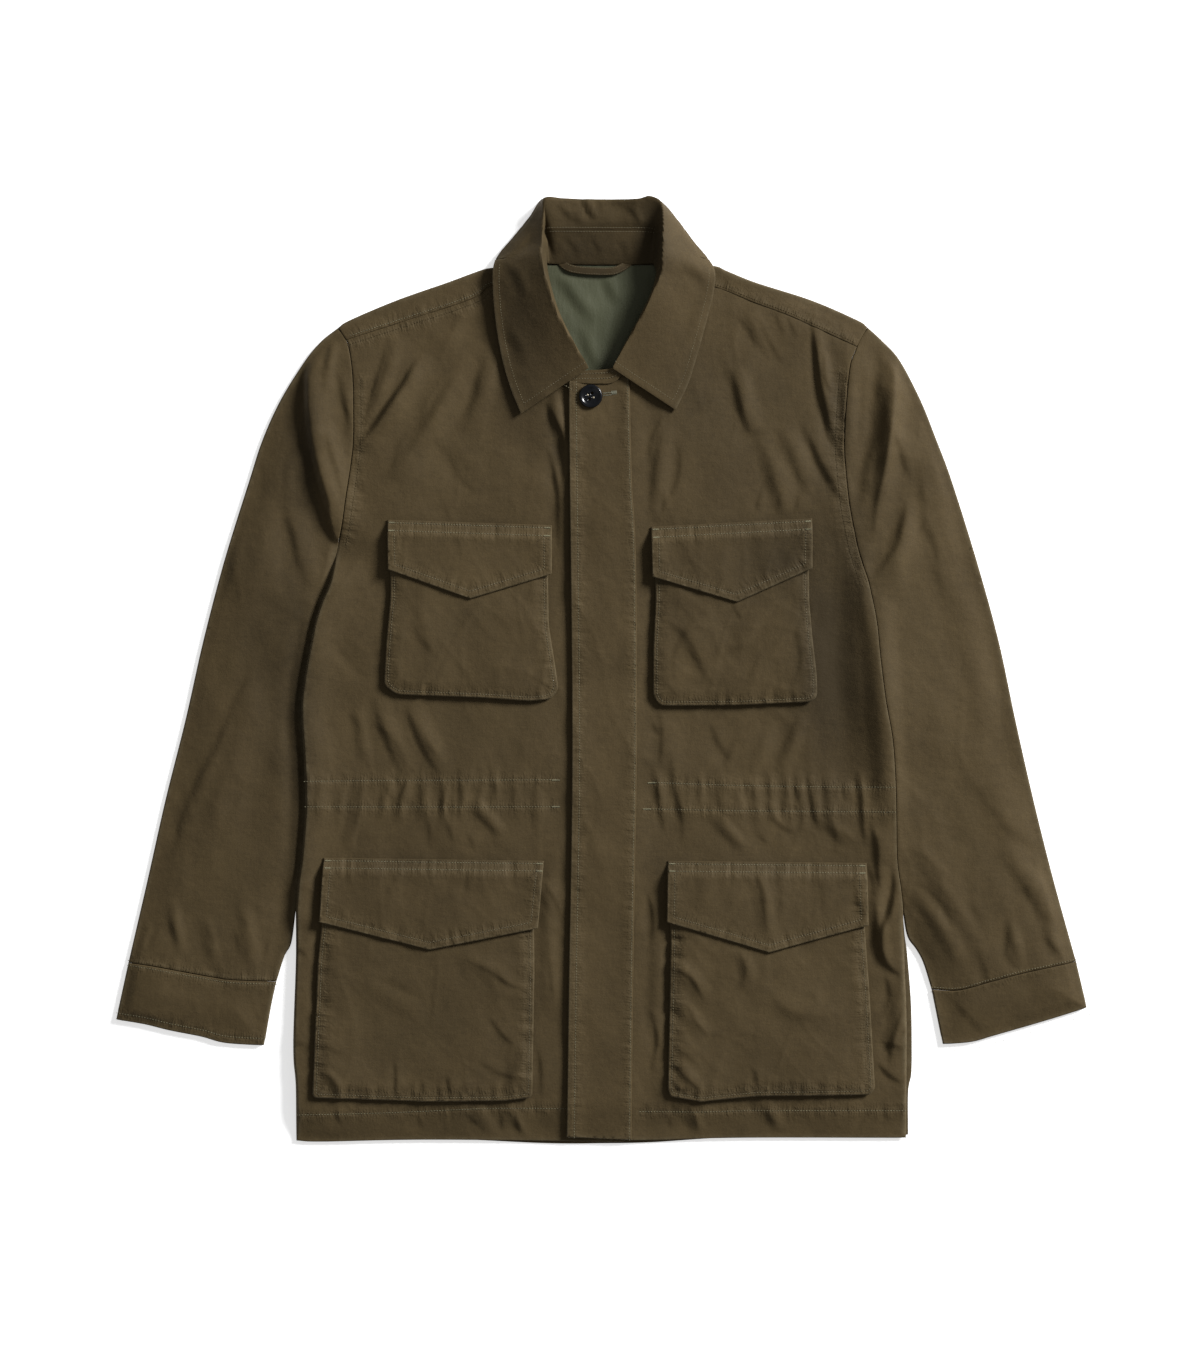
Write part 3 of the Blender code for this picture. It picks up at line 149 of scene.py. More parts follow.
# A flap's corners, as seen, are top left, lower left, point, lower right and top right. A bag's
# run anticlockwise from one end of its open top to the other.
pockets = {
    "rightChest": {
        "flap": ((-186.2, 131.7), (-185.6, 87.9), (-114, 62.6), (-43.2, 84), (-43.2, 127)),
        "bag": (
            (-183.2, 116), (-183.6, 62), (-187, 27), (-189.2, -12.2), (-178.2, -20.6), (-103.7, -23.5),
            (-61, -26.4), (-44, -24.5), (-37.1, -16.1), (-40.2, 4.7), (-45.7, 39.2), (-46.4, 75.7),
            (-46.2, 111),
        ),
    },
    "leftChest": {
        "flap": ((43, 125.5), (44.1, 81.6), (117.5, 59.7), (183.2, 89), (183.2, 132.9)),
        "bag": (
            (46.4, 110), (46.8, 60), (44.8, 20), (44.8, -22.1), (50.9, -30.5), (116.1, -30), (182.3, -27),
            (187.7, -22.1), (187.1, -3.8), (183.5, 26.7), (180.4, 62), (180.2, 117),
        ),
    },
    "rightHip": {
        "flap": ((-241.7, -162.3), (-245.3, -218.2), (-149.4, -242.2), (-55.2, -223.6), (-50, -165)),
        "bag": (
            (-239, -178), (-242.6, -216), (-246.5, -250), (-251, -368.5), (-249, -370.6), (-155.6, -374.4),
            (-84.8, -373.6), (-62, -371), (-60, -368), (-58.2, -260), (-58.6, -222), (-53.6, -181),
        ),
    },
    "leftHip": {
        "flap": ((57.5, -165), (56.6, -218.2), (145.4, -244.5), (232, -220.9), (230.6, -166.8)),
        "bag": (
            (60.3, -181), (59.6, -217), (60.1, -236), (57.5, -364), (60, -370), (86.6, -374.4),
            (136.5, -369.6), (233, -368.3), (237.7, -363), (233, -280), (229, -224), (227.6, -183),
        ),
    },
}

# Large folds: start, end, bow, width of a flank, rise and lean.
foldRows = (
    (-178, 290, -203, 214, 2, 8, 3, -0.3), (-153, 276, -213, 190, 3, 11, 6, -0.4),
    (-116, 274, -182, 166, 4, 15, 6.5, -0.3), (-96, 282, -116, 206, 2, 13, 4, -0.2),
    (-42, 246, -35, 196, 0, 8, 5, 0), (-150, 200, -92, 145, 0, 16, -2, 0),
    (-232, 30, -205, -6, 0, 13, -2, 0), (-196, -20, -168, -92, -3, 11, 4.5, -0.3),
    (-168, -26, -134, -94, -4, 12, 5.5, -0.4), (-213, -28, -204, -84, 0, 9, 3, 0),
    (-206, -92, -220, -158, 0, 8, 3.5, 0.3), (-112, -112, -84, -144, 0, 9, 4, 0),
    (-41, -150, -44, -300, -4, 10, 3, 0), (-56, -180, -36, -216, 0, 9, 3, 0),
    (-212, -262, -152, -296, -3, 15, 2.5, 0), (-124, -246, -70, -286, 3, 13, 3, 0),
    (-250, -316, -222, -330, 0, 8, 2.5, 0), (-248, -345, -226, -372, 5, 8, 3, 0),
    (-84, -364, -62, -326, 0, 10, 3, 0), (-112, -372, -92, -408, 0, 9, 2.5, 0),
    (-82, -374, -66, -408, 0, 7, 3, 0), (186, 304, 208, 192, -4, 9, 7, -0.4),
    (117, 266, 132, 204, -2, 12, 6, -0.4), (138, 204, 160, 134, 2, 15, 4, -0.2),
    (158, 216, 184, 152, 1, 13, 4, -0.2), (178, 220, 214, 150, -3, 13, 4.5, -0.3),
    (58, 216, 48, 128, -3, 11, 5, -0.2), (128, 318, 152, 270, -3, 10, 3, -0.2),
    (205, 60, 208, -52, 0, 18, -2.5, 0), (222, 104, 232, 14, 0, 18, 5, 0.3),
    (234, 112, 252, -180, 0, 50, 15, -0.25), (237, 96, 255, -170, 0, 19, 9, 0),
    (176, -38, 156, -92, 0, 10, 3.5, 0), (150, -44, 132, -90, 0, 10, 2.5, 0),
    (94, -122, 128, -158, 0, 9, 4, 0), (186, -122, 220, -152, 0, 9, 3.5, 0),
    (47, -196, 44, -340, 3, 10, 3, 0), (246, -170, 248, -262, -6, 10, 5, 0),
    (264, -262, 250, -336, 0, 9, 4, 0), (134, -170, 146, -236, 0, 11, 3, 0),
    (58, -252, 96, -292, 3, 12, 4, 0), (56, -284, 92, -322, 4, 11, 3.5, 0),
    (118, -242, 126, -280, 5, 10, 3, 0), (60, -334, 88, -368, 0, 9, 2.5, 0),
    (132, -276, 204, -306, -4, 16, 2, 0), (58, -368, 88, -410, 4, 10, 4, 0),
    (142, -372, 158, -406, 0, 9, 2.5, 0), (-257, 286, -253, 190, 0, 20, 13, -0.7),
    (-253, 212, -228, 106, -2, 20, 14.5, -0.7), (-232, 288, -238, 240, -2, 7, 3, 0),
    (-225, 262, -219, 200, 2, 6, 2.5, 0), (-268, 142, -250, 70, -3, 14, 4, -0.3),
    (-284, 190, -292, 60, -5, 20, 3, 0), (-297, 2, -352, -166, 5, 22, 5, -0.3),
    (-266, 98, -279, -160, 0, 26, 2.0, 0), (217, 274, 213, 170, 0, 12, 7, 0),
    (126, 126, 132, 58, 0, 22, -4.0, 0.2), (-374, -196, -366, -246, 0, 8, 3.5, 0),
    (-392, -218, -404, -250, 0, 7, 3, 0), (-345, -212, -334, -262, 0, 9, 3, 0),
    (-312, -200, -300, -264, 0, 10, 3, 0), (255, 280, 237, 122, 3, 13, 8, -0.3),
    (236, 284, 222, 150, 6, 10, -3, 0), (262, 142, 234, 80, -5, 13, -3.5, 0),
    (274, 150, 254, 62, -4, 13, 4, 0), (278, 226, 296, 80, 4, 18, 3, 0),
    (318, 90, 338, -60, 3, 22, 3.5, 0), (290, 10, 300, -110, 0, 20, 3, 0),
    (270, -150, 334, -250, 4, 13, 5, 0), (264, -184, 314, -256, 4, 11, 4, 0),
    (350, -150, 400, -232, 4, 15, 4.5, 0), (354, -214, 366, -258, 0, 8, 3.5, 0),
    (386, -216, 398, -250, 0, 8, 3, 0),
)
# Gathers of the waist cord: place, rise and slant.
gatherRows = (
    (-244, 3, -2), (-226, 3, -3), (-207, 3.5, -4), (-189, 4.5, -4), (-172, 5, -5), (-154, 4.5, -2),
    (-137, 4.5, -2), (-120, 4.5, -2), (-105, 3, -1), (-92, 3.5, 1), (-74, 3, 2), (-55, 3.5, -2),
    (50, 4, 3), (68, 2.5, 2), (86, 3.5, 4), (104, 4, 3), (120, 3, 2), (134, 3, 3), (148, 3.5, 3),
    (162, 3, 2), (174, 3.5, 4), (187, 4, 2), (200, 3.5, 3), (213, 3, 3), (227, 4.5, 1),
)

# Collar sections from the right leaf round to the left: crest of the fold, outer edge, how far
# it turns under, seam between fall and stand, neck seam.
collarRows = (
    (-11.3, 262.7, 18.0, -70, 223.6, 10.0, 0, -15, 264.5, 13.4, -26, 260, 8.3),
    (-23.9, 283.2, 22, -79.6, 248, 10.0, 0, -24.5, 285, 14, -35.6, 281.5, 8.3),
    (-37, 306.2, 25.5, -87, 274.9, 10.5, 0, -35.5, 307.5, 15.5, -44.4, 305.5, 8.3),
    (-44.5, 326.6, 27, -91.8, 303.6, 12.5, 0, -42.5, 327.5, 15.5, -50.4, 326, 8.2),
    (-50, 347.1, 26.5, -94, 329.7, 13, 0, -47, 347, 15, -53.4, 344.6, 7.4),
    (-52.6, 361.1, 24, -93.8, 350.6, 11, 0, -48.5, 362, 13, -50.4, 354.6, 6),
    (-51.8, 372.4, 21, -88.3, 363.2, 5.5, 5, -47.5, 372.5, 10.5, -46.4, 355.2, 3.6),
    (-51.0, 384.5, 18.5, -77, 376.7, 4.6, 9, -50.5, 381, 8.8, -45.5, 354.9, 3.2),
    (-50.2, 397.6, 16.5, -63.1, 393.7, 4.6, 12, -48.2, 383, 7.4, -42, 354.7, 3.2),
    (-48.8, 409.4, 18.5, -50.4, 410.8, 4.6, 14, -43, 383.4, 11.0, -36, 354.5, 3.2),
    (-33, 409.3, 16, -34, 410.4, 4.8, 16, -27, 383.5, 11.0, -25, 354.3, 3.2),
    (-1.3, 408.4, 15, -1.3, 409.3, 4.8, 17, -1.3, 383.4, 11.0, -1.3, 354, 3.2),
    (31, 408.8, 16.5, 32, 409.8, 4.8, 16, 26, 383.3, 10.8, 26, 354.3, 3.2),
    (41, 411.0, 18.0, 42, 412.0, 4.6, 14, 37, 383.3, 10.0, 32, 354.6, 3.2),
    (50.0, 407.2, 19.5, 53.5, 406.4, 4.6, 13, 42.5, 383.2, 8.6, 36.5, 354.7, 3.2),
    (53.0, 399.5, 20.5, 66, 392.0, 4.6, 12, 45.8, 382.4, 7.4, 40, 354.8, 3.2),
    (53.6, 386.0, 21.5, 80, 373.4, 4.6, 9, 47.2, 378.5, 7.8, 42.5, 355, 3.3),
    (53.4, 371, 22.5, 91.4, 359.6, 6, 3, 47.8, 370, 9.4, 44.6, 355.2, 3.8),
    (53.0, 357.6, 22.5, 98.3, 346.5, 13.5, 0, 48.2, 358.2, 13.0, 46.6, 352.8, 6.2),
    (52.6, 346.6, 22, 97.3, 329, 14, 0, 48.4, 346.6, 14.6, 48.8, 342.8, 8.2),
    (46.5, 331, 22, 91.8, 306.2, 12.5, 0, 44.5, 331, 15.5, 47.2, 326.4, 8.3),
    (35, 307.4, 20, 83.5, 275.8, 11.5, 0, 34.6, 309.5, 14, 39.8, 303.8, 9.2),
    (22.2, 284.5, 17.5, 75.3, 249.7, 11, 0, 22.4, 287, 13.6, 29.8, 280.2, 11),
    (10, 262.4, 16.2, 64.4, 226.6, 11, 0, 11.4, 265.8, 13.2, 17.8, 257.6, 12),
)
standEndRows = (
    (8, 262.8, 12.4, 9.4, 250.4, 11.4), (-1.3, 261.6, 11.9, -1.3, 249.6, 11.3),
    (-12, 261.2, 11.6, -12.6, 249.8, 11.2), (-24, 259, 11.4, -28, 251, 11.1),
)
loopRows = (
    (-36.0, 357.4, 2.8), (-33.0, 353.8, 3.5), (-27, 350.4, 4.8), (-16, 348.5, 5.3), (-3, 347.7, 5.4),
    (9, 347.9, 5.4), (16.0, 350.2, 4.8), (21.0, 353.4, 3.6), (25.5, 357.2, 2.8),
)

# Creases, where the cloth turns away from the light: half width, rise of the crest on the lit
# side, depth of the trough on the shaded side, and the line that they follow.
creaseRows = (
    # wearer's right front, above the chest pocket
    (4.5, 1.8, 1.0, "-185,288 -192,266 -199,244 -206,221 -207,212"),
    (5.0, 3.3, 1.8, "-162,274 -171,258 -181,240 -192,224 -202,209 -216,192"),
    (9.0, 1.6, 0.8, "-123,271 -136,258 -150,237 -160,220 -171,202 -181,184 -190,162"),
    (7.0, 0.9, 0.5, "-106,316 -117,301 -128,292"),
    (7.0, 1.0, 0.6, "-99,277 -107,258 -115,234 -130,212"),
    (8.0, 0.8, 0.8, "-150,204 -138,189 -122,167 -102,148"),
    (4.5, 4.0, 3.2, "-51,234 -43,218 -35,202 -33,180 -34,160"),
    (5.0, 2.4, 2.0, "-46,196 -40,150 -36,104"),
    # wearer's left front, above the chest pocket
    (3.2, 1.9, 1.3, "181.6,310 185.6,282 187,263 189.6,240 194.4,218 199,202 210.6,186"),
    (4.0, 1.4, 0.8, "192,279 195,253 200,239"),
    (11.0, 1.4, 1.1, "101,284 109,252 118,226 134,196"),
    (10.0, 1.1, 0.7, "126,222 134,198 144,173 152,154 162,134"),
    (9.5, 1.0, 0.6, "150,214 158,194 168,176 180,154"),
    (6.5, 1.3, 0.9, "170,218 182,193 192,175 203,157 217,136"),
    (5.0, 1.4, 0.8, "53,224 43,199 41,170"),
    (5.5, 1.3, 0.8, "64,205 67,186 64,165 56,149 48,133"),
    (5.0, 1.0, 0.6, "118,311 128,293 134,279"),
    (5.5, 1.2, 0.7, "133,312 149,282 158,266"),
    (4.0, 0.7, 0.5, "148,315 155,300 160,288"),
    (4.0, 0.7, 0.5, "160,311 166,298 170,288"),
    (4.0, 0.8, 0.5, "140,160 136,148 133,136"),
    (4.0, 0.8, 0.5, "156,159 153,147 151,136"),
    (4.0, 0.7, 0.5, "172,156 170,146 168,137"),
    (4.0, 0.7, 0.5, "56,158 54,148 51,136"),
    # wearer's right front, chest pocket to waist
    (9.0, 1.0, 0.6, "-240,32 -229,24 -220,12 -209,1 -196,-4"),
    (6.25, 0.82, 0.5, "-220,-35 -209,-57"),
    (6.88, 1.22, 0.62, "-202,-43 -180,-65 -170.5,-87"),
    (6.88, 1.22, 0.62, "-172,-32 -161,-50 -150,-65 -139,-79 -136,-92"),
    (5.62, 0.95, 0.56, "-196,-94 -202,-103 -207,-114 -213,-127 -217,-147"),
    (3.5, 1.0, 0.7, "-184,-95 -188,-109"),
    (3.5, 1.1, 0.8, "-170.5,-94 -178,-112"),
    (5.62, 0.82, 0.5, "-158,-110 -153,-134 -148.5,-156"),
    (5.0, 0.88, 0.5, "-137.5,-94 -138,-123 -130,-145 -126.5,-156"),
    (5.62, 0.82, 0.5, "-125,-79 -123,-105 -125,-118"),
    (6.25, 0.68, 0.37, "-118,-116 -104.5,-132 -88,-142"),
    (5.0, 0.68, 0.37, "-117,-140 -112,-158"),
    (3.5, 0.9, 0.6, "-94,-96 -93,-110"),
    (3.5, 1.0, 0.7, "-55,-94 -48,-108"),
    (5.0, 0.68, 0.43, "-55,-117 -57,-142"),
    (5.0, 0.95, 0.37, "-268,-190 -256,-175"),
    (7.0, 1.0, 0.5, "-169,43 -154,23 -139,5"),
    # wearer's left front, chest pocket to waist
    (9.0, 1.7, 1.0, "150,58 132,30 104,8 84,-18"),
    (8.0, 1.6, 1.0, "82,52 68,30 62,4"),
    (6.0, 1.5, 0.9, "176,54 168,34 172,10 166,-10"),
    (8.0, 1.3, 0.8, "131,-41 116,-66 102,-90"),
    (9.0, 1.2, 0.7, "176,-34 160,-62 150,-88"),
    (5.0, 1.6, 1.0, "51,-32 52,-60 49,-84"),
    (7.0, 1.3, 0.8, "186,-116 200,-136 206,-160"),
    (5.0, 1.3, 0.9, "146,-124 158,-138 170,-142"),
    (9.0, 2.0, 1.4, "56,46 70,27 83,8 98,-13"),
    (4.0, 1.0, 0.8, "112,58 118,48 124,44"),
    (6.0, 0.9, 0.6, "139,14 128,0 125,-13"),
    (5.0, 1.3, 0.8, "44,-43 47.7,-57"),
    (4.5, 1.5, 1.0, "48.6,-92 48.6,-116 53,-142"),
    (7.0, 1.6, 1.0, "60.5,-68 62,-98 68,-123 70.6,-153"),
    (6.5, 1.3, 0.8, "91.7,-46 102.7,-65 113.7,-79"),
    (3.5, 0.74, 0.56, "84,-88 86,-112"),
    (3.5, 0.74, 0.56, "103,-88 106,-114"),
    (3.5, 0.68, 0.5, "124,-90 126,-113"),
    (3.0, 0.56, 0.43, "130,-96 132,-112"),
    (3.5, 0.74, 0.56, "144,-88 147,-116"),
    (3.5, 0.68, 0.56, "158,-90 161,-113"),
    (3.5, 0.62, 0.5, "168,-95 171,-116"),
    (4.0, 1.12, 0.74, "180,-86 183,-123 191,-142"),
    (3.5, 0.68, 0.5, "193,-92 195,-115"),
    (3.5, 0.62, 0.5, "202,-95 204,-118"),
    (3.0, 0.62, 0.43, "210,-96 212,-116"),
    (3.0, 0.62, 0.43, "215,-98 217,-118"),
    (4.5, 1.5, 1.1, "222,-84 225.5,-110 229,-154"),
    (9.0, 0.8, 0.4, "88,-120 108,-140 122,-158"),
    (4.0, 0.62, 0.37, "132,-138 145,-151"),
    (4.0, 0.62, 0.37, "167,-121 161,-138"),
    (7.0, 1.0, 0.6, "198,-122 220,-152"),
    (5.5, 2.2, 1.8, "234,-130 238,-160 242,-192"),
    # wearer's right hip
    (9.0, 1.3, 0.8, "-196,-262 -178,-276 -152,-287"),
    (5.0, 1.3, 0.9, "-120,-249 -98,-262 -64,-280"),
    (4.5, 1.2, 0.8, "-100,-299 -90,-313 -76,-327"),
    (5.0, 1.1, 0.8, "-108,-339 -86,-350 -61,-355"),
    (7.0, 1.0, 0.6, "-96,-255 -85,-275"),
    (3.0, 1.2, 0.9, "-179,-338 -178,-370"),
    (3.5, 1.0, 0.7, "-135,-350 -133,-368"),
    (3.5, 0.8, 0.6, "-155,-354 -154,-370"),
    (3.5, 0.8, 0.6, "-120,-353 -118,-369"),
    (5.0, 1.3, 0.9, "-249,-348 -238,-352 -230,-362 -230,-370"),
    (5.5, 1.0, 0.6, "-249,-317 -236,-321 -225,-328"),
    (8.0, 1.0, 0.8, "-85,-362 -74,-348 -65,-330"),
    (7.0, 1.0, 0.8, "-116,-168 -118,-192"),
    (8.0, 0.9, 0.6, "-133,-168 -127,-192"),
    (5.0, 1.2, 0.8, "-120,-385 -113,-392 -106,-398"),
    (4.0, 1.2, 0.8, "-86,-380 -88,-402"),
    (4.0, 1.4, 0.9, "-77,-383 -73,-395 -69,-407"),
    (4.5, 0.9, 0.6, "-233,-383 -225,-397"),
    (4.5, 0.9, 0.6, "-160,-384 -157,-402"),
    (5.0, 1.5, 1.0, "-52,-183 -44,-198 -36,-214"),
    (4.5, 1.2, 0.9, "-58,-328 -53,-345 -54,-372"),
    (4.0, 1.2, 0.6, "-266,-240 -256,-251"),
    (6.0, 1.2, 0.8, "-270,-325 -249,-325"),
    (4.0, 0.8, 0.6, "-47,-230 -44,-290"),
    (5.0, 2.0, 1.4, "236,-200 239,-222 237,-244"),
    (4.5, 1.8, 1.2, "246,-262 250,-282 244,-300"),
    (4.5, 2.2, 1.4, "239,-342 250,-352 262,-358"),
    (4.0, 1.6, 1.0, "40,-190 44,-215 41,-240"),
    (4.5, 1.8, 1.2, "42,-292 47,-320 43,-350"),
    # wearer's left hip
    (6.0, 1.6, 1.2, "134,-172 138,-200 143,-232"),
    (8.0, 1.2, 0.9, "152,-172 152,-222"),
    (7.0, 0.7, 0.5, "188,-175 190,-215"),
    (5.0, 1.1, 0.8, "228,-180 221,-196 226,-212 217,-226"),
    (5.0, 1.6, 0.9, "60,-256 76,-268 88,-287"),
    (5.0, 1.3, 0.8, "58,-287 75,-292 82,-306 92,-320"),
    (5.0, 1.2, 0.8, "119,-243 124,-258 121,-274"),
    (11.0, 1.2, 0.8, "140,-274 165,-299 202,-305"),
    (4.0, 1.1, 0.8, "132,-343 138,-367"),
    (4.0, 0.9, 0.6, "142,-350 143,-368"),
    (4.0, 0.9, 0.6, "192,-348 194,-368"),
    (4.5, 1.2, 0.8, "59,-339 72,-353 87,-366"),
    (4.5, 1.1, 0.8, "60,-355 67,-362 76,-369"),
    (5.5, 1.1, 0.7, "61,-324 73,-335 86,-346"),
    (5.0, 1.2, 0.8, "231,-163 236,-197"),
    (6.0, 4.2, 3.0, "254,-166 250,-200 243,-225 243,-245 250,-258 264,-269"),
    (6.0, 3.4, 2.2, "262,-290 252,-318 250,-345"),
    (4.5, 1.2, 0.8, "240,-323 264,-329"),
    (5.5, 1.9, 1.2, "61,-371 76,-382 85,-407"),
    (4.5, 1.1, 0.7, "142,-381 151,-397"),
    (4.0, 0.9, 0.6, "222,-402 228,-391 236,-379"),
    (3.5, 0.9, 0.7, "58,-383 60,-402"),
    # right sleeve
    (4.5, 1.4, 0.8, "-235,290 -238,276 -240,262"),
    (5.0, 1.4, 0.9, "-240,212 -236,192 -229,162 -226,147"),
    (4.5, 1.3, 0.8, "-229,260 -225,236 -219,208"),
    (6.5, 5.4, 2.6, "-257,276 -257,243 -257,207 -254,191 -248,172 -241,149 -236,127 -229,109"),
    (9.0, 1.2, 0.8, "-275,203 -276,149 -271,114 -257,82"),
    (9.0, 2.6, 1.8, "-305,12 -318,-28 -332,-58 -346,-88 -358,-112 -371,-147 -381,-172"),
    (7.0, 0.9, 0.6, "-315,-102 -328,-140"),
    (5.0, 1.3, 0.8, "-384,-222 -402,-249"),
    (5.0, 1.1, 0.8, "-376,-214 -370,-240"),
    (5.0, 0.9, 0.7, "-346,-219 -336,-240"),
    (5.0, 0.9, 0.7, "-320,-222 -315,-249"),
    (5.0, 0.9, 0.7, "-289,-228 -299,-258"),
    # left sleeve
    (11.5, 3.7, 2.2, "240,290 243,262 242,236 238,210 232,188 226,163 222,134"),
    (3.0, 2.0, 0.5, "254,278 253,244 250,214 245,178 238,140 233,106"),
    (5.0, 1.4, 0.8, "253,212 260,184 268,169"),
    (9.0, 1.4, 0.8, "275,194 277,149 284,114 292,88 298,50"),
    (12.0, 1.0, 0.6, "281,186 290,149 299,114 309,86"),
    (6.0, 2.6, 1.6, "267,151 260,131 254,110 242,92 233,77"),
    (12.0, 1.3, 0.8, "323,-92 347,-138 383,-157"),
    (10.0, 1.6, 0.9, "262,-153 303,-182 334,-234 344,-246"),
    (7.0, 1.2, 0.8, "263,-180 281,-191 299,-212 313,-241"),
    (9.0, 1.3, 0.8, "350,-157 377,-204 397,-223"),
    (5.0, 1.1, 0.8, "356,-214 351,-243 365,-262"),
    (5.0, 1.1, 0.8, "385,-231 402,-253"),
    (5.0, 0.9, 0.7, "324,-240 337,-271"),
    (7.0, 1.0, 0.7, "301,-284 336,-319"),
)
# Crests that catch the light: half width, rise and line.
ridgeRows = (
    (5.0, 2.6, "255,276 254,253 251,218 248,192 244,166 240,147"),
    (7.0, 1.2, "90,-170 91,-190 88,-212"),
    (7.0, 0.8, "-146,-168 -144,-190"),
    (6.0, 1.0, "-244,100 -252,76 -262,52"),
    (13.0, -3.0, "-272,270 -268,225 -264,185 -254,145 -243,112 -238,96"),
    (6.0, -2.2, "-258,62 -266,20 -272,-34 -270,-90 -272,-150 -277,-200"),
    (9.0, -2.0, "-232,126 -240,98 -252,60"),
)

# Rows of stitches. Each says what it is sewn on, how far it draws the cloth in, and its line.
stitchRows = {
    "leftFront": (
        (0.30, "33.5,-383.3 86,-383.6 140,-382.5 264,-382.5"),
        (0.34, "45,-97 80,-98.3 120,-99.5 190,-100.8 254.6,-101"),
        (0.34, "40,-120 80,-120.8 120,-121.6 190,-122.2 255,-122.5"),
    ),
    "rightFront": (
        (0.30, "-265,-386 -182,-384.3 -102,-380.7 -31,-380.7"),
        (0.34, "-258,-96 -200,-95.4 -120,-95 -40,-94.6"),
        (0.34, "-257.4,-118 -200,-118.3 -120,-118.3 -38,-118"),
    ),
}


def smooth(t):
    t = np.clip(t, 0.0, 1.0)
    return t * t * (3.0 - 2.0 * t)


def lineOf(text):
    return np.array([[float(part) for part in pair.split(",")] for pair in text.split()])


def through(points, places):
    # The smooth curve through the points; a whole number of places is a point of its own.
    points = np.asarray(points, float)
    i = np.clip(np.asarray(places).astype(int), 0, len(points) - 2)
    t = (places - i)[:, None]
    padded = np.vstack([2 * points[0] - points[1], points, 2 * points[-1] - points[-2]])
    a, b, c, d = padded[i], padded[i + 1], padded[i + 2], padded[i + 3]
    return 0.5 * (2 * b + (c - a) * t + (2 * a - 5 * b + 4 * c - d) * t ** 2
                  + (3 * b - a - 3 * c + d) * t ** 3)


def evenly(points, step=0.0, count=0):
    steps = np.linalg.norm(np.diff(points, axis=0), axis=1)
    walked = np.r_[0.0, np.cumsum(steps)]
    count = count or max(2, int(round(walked[-1] / step)) + 1)
    places = np.linspace(0.0, walked[-1], count)
    return np.stack([np.interp(places, walked, points[:, k]) for k in range(points.shape[1])], 1)


def curve(points, step=2.0):
    points = np.asarray(points, float)
    fine = through(points, np.linspace(0, len(points) - 1, 16 * (len(points) - 1) + 1))
    return evenly(fine, step)


def corners(points, step=2.0):
    points = np.asarray(points, float)
    runs = [evenly(np.array(pair), step)[:-1] for pair in zip(points, points[1:])]
    return np.vstack(runs + [points[-1:]])


def seam(name, step=2.0):
    return curve(seams[name], step)


def unit(rows):
    return rows / np.linalg.norm(rows, axis=1)[:, None]


def leftOf(way):
    return np.stack([-way[:, 1], way[:, 0]], 1)


def beside(line, by):
    # The line moved to the left of its travel.
    return line + leftOf(unit(np.gradient(line, axis=0))) * by


def closed(loop):
    return np.vstack([loop, loop[:1]])


def outwards(loop):
    # Mitred normals of a closed anticlockwise outline.
    before = loop - np.roll(loop, 1, 0)
    before /= np.maximum(np.linalg.norm(before, axis=1), 1e-9)[:, None]
    after = np.roll(before, -1, 0)
    normal = np.stack([before[:, 1] + after[:, 1], -before[:, 0] - after[:, 0]], 1) / 2
    size = np.maximum(np.linalg.norm(normal, axis=1), 0.5)[:, None]
    return normal / size ** 2


def insideOf(xy, loop):
    order = np.argsort(xy[:, 1])
    x, y = xy[order, 0], xy[order, 1]
    hit = np.zeros(len(xy), bool)
    for a, b in zip(np.roll(loop, 1, 0), loop):
        first, last = np.searchsorted(y, sorted((a[1], b[1])))
        if first < last:
            band = slice(first, last)
            hit[band] ^= x[band] < (b[0] - a[0]) * (y[band] - a[1]) / (b[1] - a[1]) + a[0]
    result = np.zeros(len(xy), bool)
    result[order] = hit
    return result


def nearLine(xy, line, reach):
    # For the places within reach: which they are, distance signed to the left, and length walked.
    line = np.asarray(line, float)
    ways = np.diff(line, axis=0)
    lengths = np.maximum(np.hypot(ways[:, 0], ways[:, 1]), 1e-9)
    walked = np.r_[0.0, np.cumsum(lengths)]
    low, high = line.min(0) - reach, line.max(0) + reach
    near = np.flatnonzero(((xy >= low) & (xy <= high)).all(1))
    x, y = xy[near, 0], xy[near, 1]
    best, side, along = np.full(len(near), float(reach)), np.ones(len(near)), np.zeros(len(near))
    for start in range(0, len(ways), 8):
        # eight short pieces at a time, with only the places around them
        part, way, length = line[start:start + 9], ways[start:start + 8], lengths[start:start + 8]
        low, high = part.min(0) - reach, part.max(0) + reach
        some = np.flatnonzero((x >= low[0]) & (x <= high[0]) & (y >= low[1]) & (y <= high[1]))
        if not len(some):
            continue
        relX, relY = x[some][:, None] - part[None, :-1, 0], y[some][:, None] - part[None, :-1, 1]
        t = np.clip((relX * way[:, 0] + relY * way[:, 1]) / length ** 2, 0.0, 1.0)
        offX, offY = relX - t * way[:, 0], relY - t * way[:, 1]
        distance = np.hypot(offX, offY)
        pick = distance.argmin(1)
        rows = np.arange(len(some))
        distance = distance[rows, pick]
        closer = distance < best[some]
        pick, rows, some, distance = pick[closer], rows[closer], some[closer], distance[closer]
        turn = way[pick, 0] * offY[rows, pick] - way[pick, 1] * offX[rows, pick]
        best[some] = distance
        side[some] = np.where(turn >= 0, 1.0, -1.0)
        along[some] = walked[start + pick] + t[rows, pick] * length[pick]
    keep = best < reach
    return near[keep], (best * side)[keep], along[keep], walked[-1]


def distanceTo(xy, lines, reach):
    result = np.full(len(xy), float(reach))
    for line in lines:
        near, distance, _, _ = nearLine(xy, line, reach)
        result[near] = np.minimum(result[near], abs(distance))
    return result


